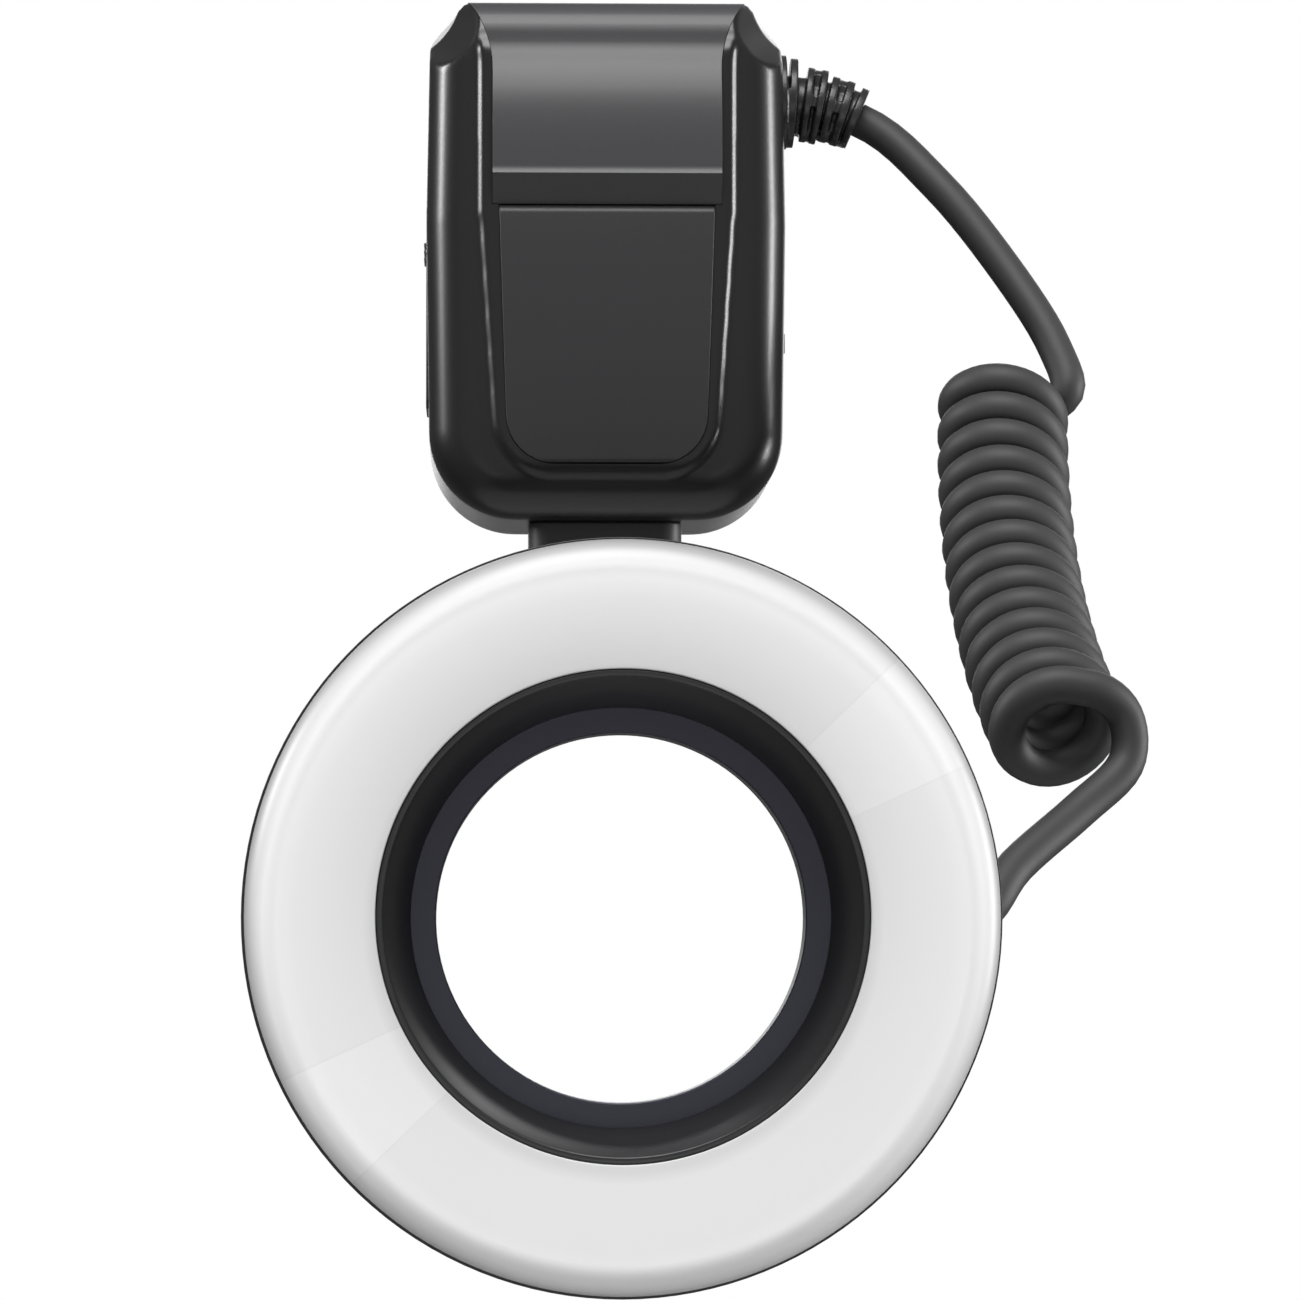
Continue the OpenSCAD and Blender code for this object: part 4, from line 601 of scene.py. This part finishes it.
# ring head: spun pieces
ring = {"rear": -143, "axis": -64, "steps": 256}
cover = {"inner": 42.3, "outer": 64.8, "base": 17.1, "wall": 2, "turnX": 59.3, "turnZ": 21.5,
         "turnRadius": 5.5, "front": 26.2, "edge": 0.25}
hood = {"profile": [(36.4, 7.7), (47, 7.7), (47, 8.9), (38.8, 8.9), (42.2, 23.5), (42.2, 25.9), (41, 25.9)],
        "edge": 0.3}


def spun(name, points, rounding, material, node):   # points are radius and height from the rear face
    mesh = bpy.data.meshes.new(name)
    verts = [(r * mm, (ring["rear"] - z) * mm, ring["axis"] * mm) for r, z in points]
    mesh.from_pydata(verts, [(i, (i + 1) % len(verts)) for i in range(len(verts))], [])
    obj = bpy.data.objects.new(name, mesh)
    bpy.context.collection.objects.link(obj)
    pick(obj)
    bpy.ops.object.mode_set(mode="EDIT")
    bpy.ops.mesh.select_all(action="SELECT")
    bpy.ops.mesh.spin(steps=ring["steps"], angle=2 * math.pi, axis=(0, 1, 0),
                      center=(0, ring["rear"] * mm, ring["axis"] * mm))
    bpy.ops.mesh.select_all(action="SELECT")
    bpy.ops.mesh.remove_doubles(threshold=1e-6)
    bpy.ops.mesh.normals_make_consistent(inside=False)
    bpy.ops.object.mode_set(mode="OBJECT")
    mod = obj.modifiers.new("round", "BEVEL")
    mod.width = rounding * mm
    mod.segments = 3
    mod.limit_method = "ANGLE"
    mod.angle_limit = math.radians(35)
    applied(obj)
    bpy.ops.object.shade_smooth_by_angle(angle=math.radians(40))
    obj.data.materials.append(material)
    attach(obj, "ring_head")
    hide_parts(node)


outside = [(cover["outer"], cover["base"])]
outside += arc(cover["turnX"], cover["turnZ"], cover["turnRadius"], 0, 90, 24)
inside = arc(cover["turnX"], cover["turnZ"], cover["turnRadius"] - cover["wall"], 90, 0, 16)
inside += [(cover["outer"] - cover["wall"], cover["base"])]
face = [(cover["inner"], cover["front"]), (cover["inner"], cover["front"] - cover["wall"])]
spun("diffuser", outside + face + inside, cover["edge"], diffuserAcrylic, "diffuser")
spun("boreHood", hood["profile"], hood["edge"], hoodPlastic, "bore_hood")
print("ring head spun")


# CAD nodes with softened edges
def softened(node, width, material, slot, crest=0, voxel=0):
    source = nodes[node]
    obj = copied(source, "".join(w.capitalize() if i else w for i, w in enumerate(node.split("_"))))
    obj.parent = None
    pick(obj)
    bpy.ops.object.mode_set(mode="EDIT")
    bpy.ops.mesh.select_all(action="SELECT")
    bpy.ops.mesh.remove_doubles(threshold=1e-6)
    bpy.ops.mesh.dissolve_limited(angle_limit=math.radians(1))
    bpy.ops.object.mode_set(mode="OBJECT")
    if crest:   # wide rounding of the upper front edge
        low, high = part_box(node)
        middle = (low[1] + high[1]) / 2
        top = high[2] - 0.2 * mm
        bevelEdges(obj, lambda a, b: min(a.z, b.z) > top and max(a.y, b.y) < middle, crest * mm, 8)
    if voxel:
        moulded(obj, voxel, 6)
    mod = obj.modifiers.new("round", "BEVEL")
    mod.width = width * mm
    mod.segments = 3
    mod.limit_method = "ANGLE"
    mod.angle_limit = math.radians(30)
    mod = obj.modifiers.new("even", "WEIGHTED_NORMAL")
    mod.keep_sharp = True
    pick(obj)
    bpy.ops.object.shade_smooth_by_angle(angle=math.radians(40))
    applied(obj)
    obj.data.materials.clear()
    obj.data.materials.append(material)
    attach(obj, body_of(source)[0])
    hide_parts(node)


# bevel in mm, finish, the record's slot, then rounding of an upper edge and voxels of a moulded form
dressed = {
    "brow_panel": (0.2, browPlastic, "brow_plastic"),
    "lower_panel": (0.6, panelPlastic, "panel_plastic", 1.7),
    "unit_relief": (0.01, reliefRubber, "cord_rubber", 0, 0.2),
    "control_dial": (0.2, dialPlastic, "dial_plastic"),
    "set_button": (0.3, keyRubber, "dial_plastic"),
    "test_button": (0.25, testPlastic, "test_plastic"),
    "power_switch": (0.2, latchPlastic, "dial_plastic"),
    "battery_pack": (0.3, casePlastic, "battery_plastic"),
    "battery_latch": (0.15, latchPlastic, "key_rubber"),
    "port_cover": (0.25, reliefRubber, "cover_rubber"),
    "foot_block": (0.6, footPlastic, "shell_plastic"),
    "lock_lever": (0.4, casePlastic, "dial_plastic"),
    "foot_plate": (0.2, steel, "foot_steel"),
    "head_case": (0.25, casePlastic, "case_plastic"),
    "rear_cover": (0.3, casePlastic, "case_plastic"),
    "head_relief": (0.3, reliefRubber, "cord_rubber"),
    "release_button_left": (0.25, dialPlastic, "dial_plastic"),
    "release_button_right": (0.25, dialPlastic, "dial_plastic"),
    "adapter_ring": (0.25, alloy, "adapter_alloy"),
    "lcd_window": (0.2, windowGlass, "window_glass")}
keyNodes = ["function_key_1", "function_key_2", "function_key_3", "function_key_4"]
keyNodes += ["mode_key", "lamp_key", "group_key"]
for node in keyNodes:
    dressed[node] = (0.3, keyRubber, "key_rubber")
for node, looks in dressed.items():
    softened(node, *looks)

plain = {"shell_screws": steel, "lcd_module": boardGreen, "key_board": boardGreen, "main_board": boardGreen,
         "board_screws": steel, "flash_capacitor": casePlastic, "boost_transformer": gold,
         "dial_encoder": dialPlastic, "battery_tray": casePlastic, "battery_contacts": gold,
         "port_sockets": casePlastic, "foot_neck": steel, "foot_contacts": gold, "lock_pin": steel,
         "head_screws": steel, "reflector": innerMetal, "flash_tube_upper": windowGlass,
         "flash_tube_lower": windowGlass, "tube_sockets": latchPlastic, "focus_lamps": windowGlass,
         "head_board": boardGreen, "latch_plate_left": steel, "latch_plate_right": steel,
         "release_springs": steel}
for node, material in plain.items():
    nodes[node].data.materials.clear()
    nodes[node].data.materials.append(material)
print("CAD nodes dressed")


# stage and light
def lamp(name, place, aim, size, watts):
    data = bpy.data.lights.new(name, "AREA")
    data.shape = "RECTANGLE"
    data.size, data.size_y = size
    data.energy = watts
    obj = bpy.data.objects.new(name, data)
    bpy.context.collection.objects.link(obj)
    obj.location = place
    obj.rotation_euler = (Vector(aim) - Vector(place)).to_track_quat("-Z", "Y").to_euler()


# the key draws the crown, the strips the rails; the low box lifts the diffuser, the back box the rear
lamp("keyBox", (-0.06, -0.72, 1.15), (0, -0.1, 0), (0.9, 0.75), 20)
lamp("fillBox", (0, -2.0, 0.35), (0, -0.1, 0.1), (3.2, 1.6), 2)
lamp("lowBox", (0, -1.7, -0.5), (0, -0.15, -0.07), (0.8, 0.35), 2.5)
lamp("backBox", (0.2, 1.7, 0.5), (0, 0, 0), (1.4, 1.0), 10)
lamp("leftStrip", (-1.0, -0.05, 0.36), (0, -0.02, 0.09), (0.16, 0.3), 7)
lamp("rightStrip", (1.0, -0.05, 0.06), (0, -0.02, 0.05), (0.16, 0.6), 9)

# plain grey room, lighter in front and above
room = {"light": (0, -0.8, 0.6), "from": -0.5, "to": 0.4, "dim": 0.11, "bright": 0.3}
world = bpy.data.worlds.new("room")
scene.world = world
world.use_nodes = True
around = addNode(world, "ShaderNodeTexCoord")
facing = addNode(world, "ShaderNodeVectorMath", [(around.outputs["Generated"], 0)], operation="DOT_PRODUCT")
facing.inputs[1].default_value = room["light"]
level = addNode(world, "ShaderNodeMapRange", [(facing.outputs["Value"], "Value")])
level.inputs["From Min"].default_value = room["from"]
level.inputs["From Max"].default_value = room["to"]
level.inputs["To Min"].default_value = room["dim"]
level.inputs["To Max"].default_value = room["bright"]
world.node_tree.links.new(level.outputs["Result"], world.node_tree.nodes["Background"].inputs["Color"])

# pale floor well below, and a wall that looks white
pick()
bpy.ops.mesh.primitive_circle_add(vertices=96, radius=0.9, fill_type="NGON", location=(0, -0.2, -1.2))
floor = applied(named("floor"))
pick()
bpy.ops.mesh.primitive_plane_add(size=2.2, location=(0.23, 8, 0.45), rotation=(math.pi / 2, 0, 0))
wall = applied(named("wall"))
paper = bpy.data.materials.new("paper")
paper.use_nodes = True
paper.node_tree.nodes["Principled BSDF"].inputs["Base Color"].default_value = hexColour("#dddddd")
paper.node_tree.nodes["Principled BSDF"].inputs["Roughness"].default_value = 0.9
floor.data.materials.append(paper)
lit = bpy.data.materials.new("white paper")
lit.use_nodes = True
path = addNode(lit, "ShaderNodeLightPath")
seen = addNode(lit, "ShaderNodeMath",
               [(path.outputs["Is Camera Ray"], 0), (path.outputs["Is Glossy Ray"], 1)], operation="MAXIMUM")
seen = addNode(lit, "ShaderNodeMath", [(seen.outputs[0], 0), (path.outputs["Is Transmission Ray"], 1)],
               operation="MAXIMUM")
white = addNode(lit, "ShaderNodeEmission", Color=(1, 1, 1, 1), Strength=1.0)
mixed = addNode(lit, "ShaderNodeMixShader", [(seen.outputs[0], 0),
                                             (lit.node_tree.nodes["Principled BSDF"].outputs[0], 1),
                                             (white.outputs[0], 2)])
lit.node_tree.links.new(mixed.outputs[0], lit.node_tree.nodes["Material Output"].inputs["Surface"])
wall.data.materials.append(lit)

print("stage set")
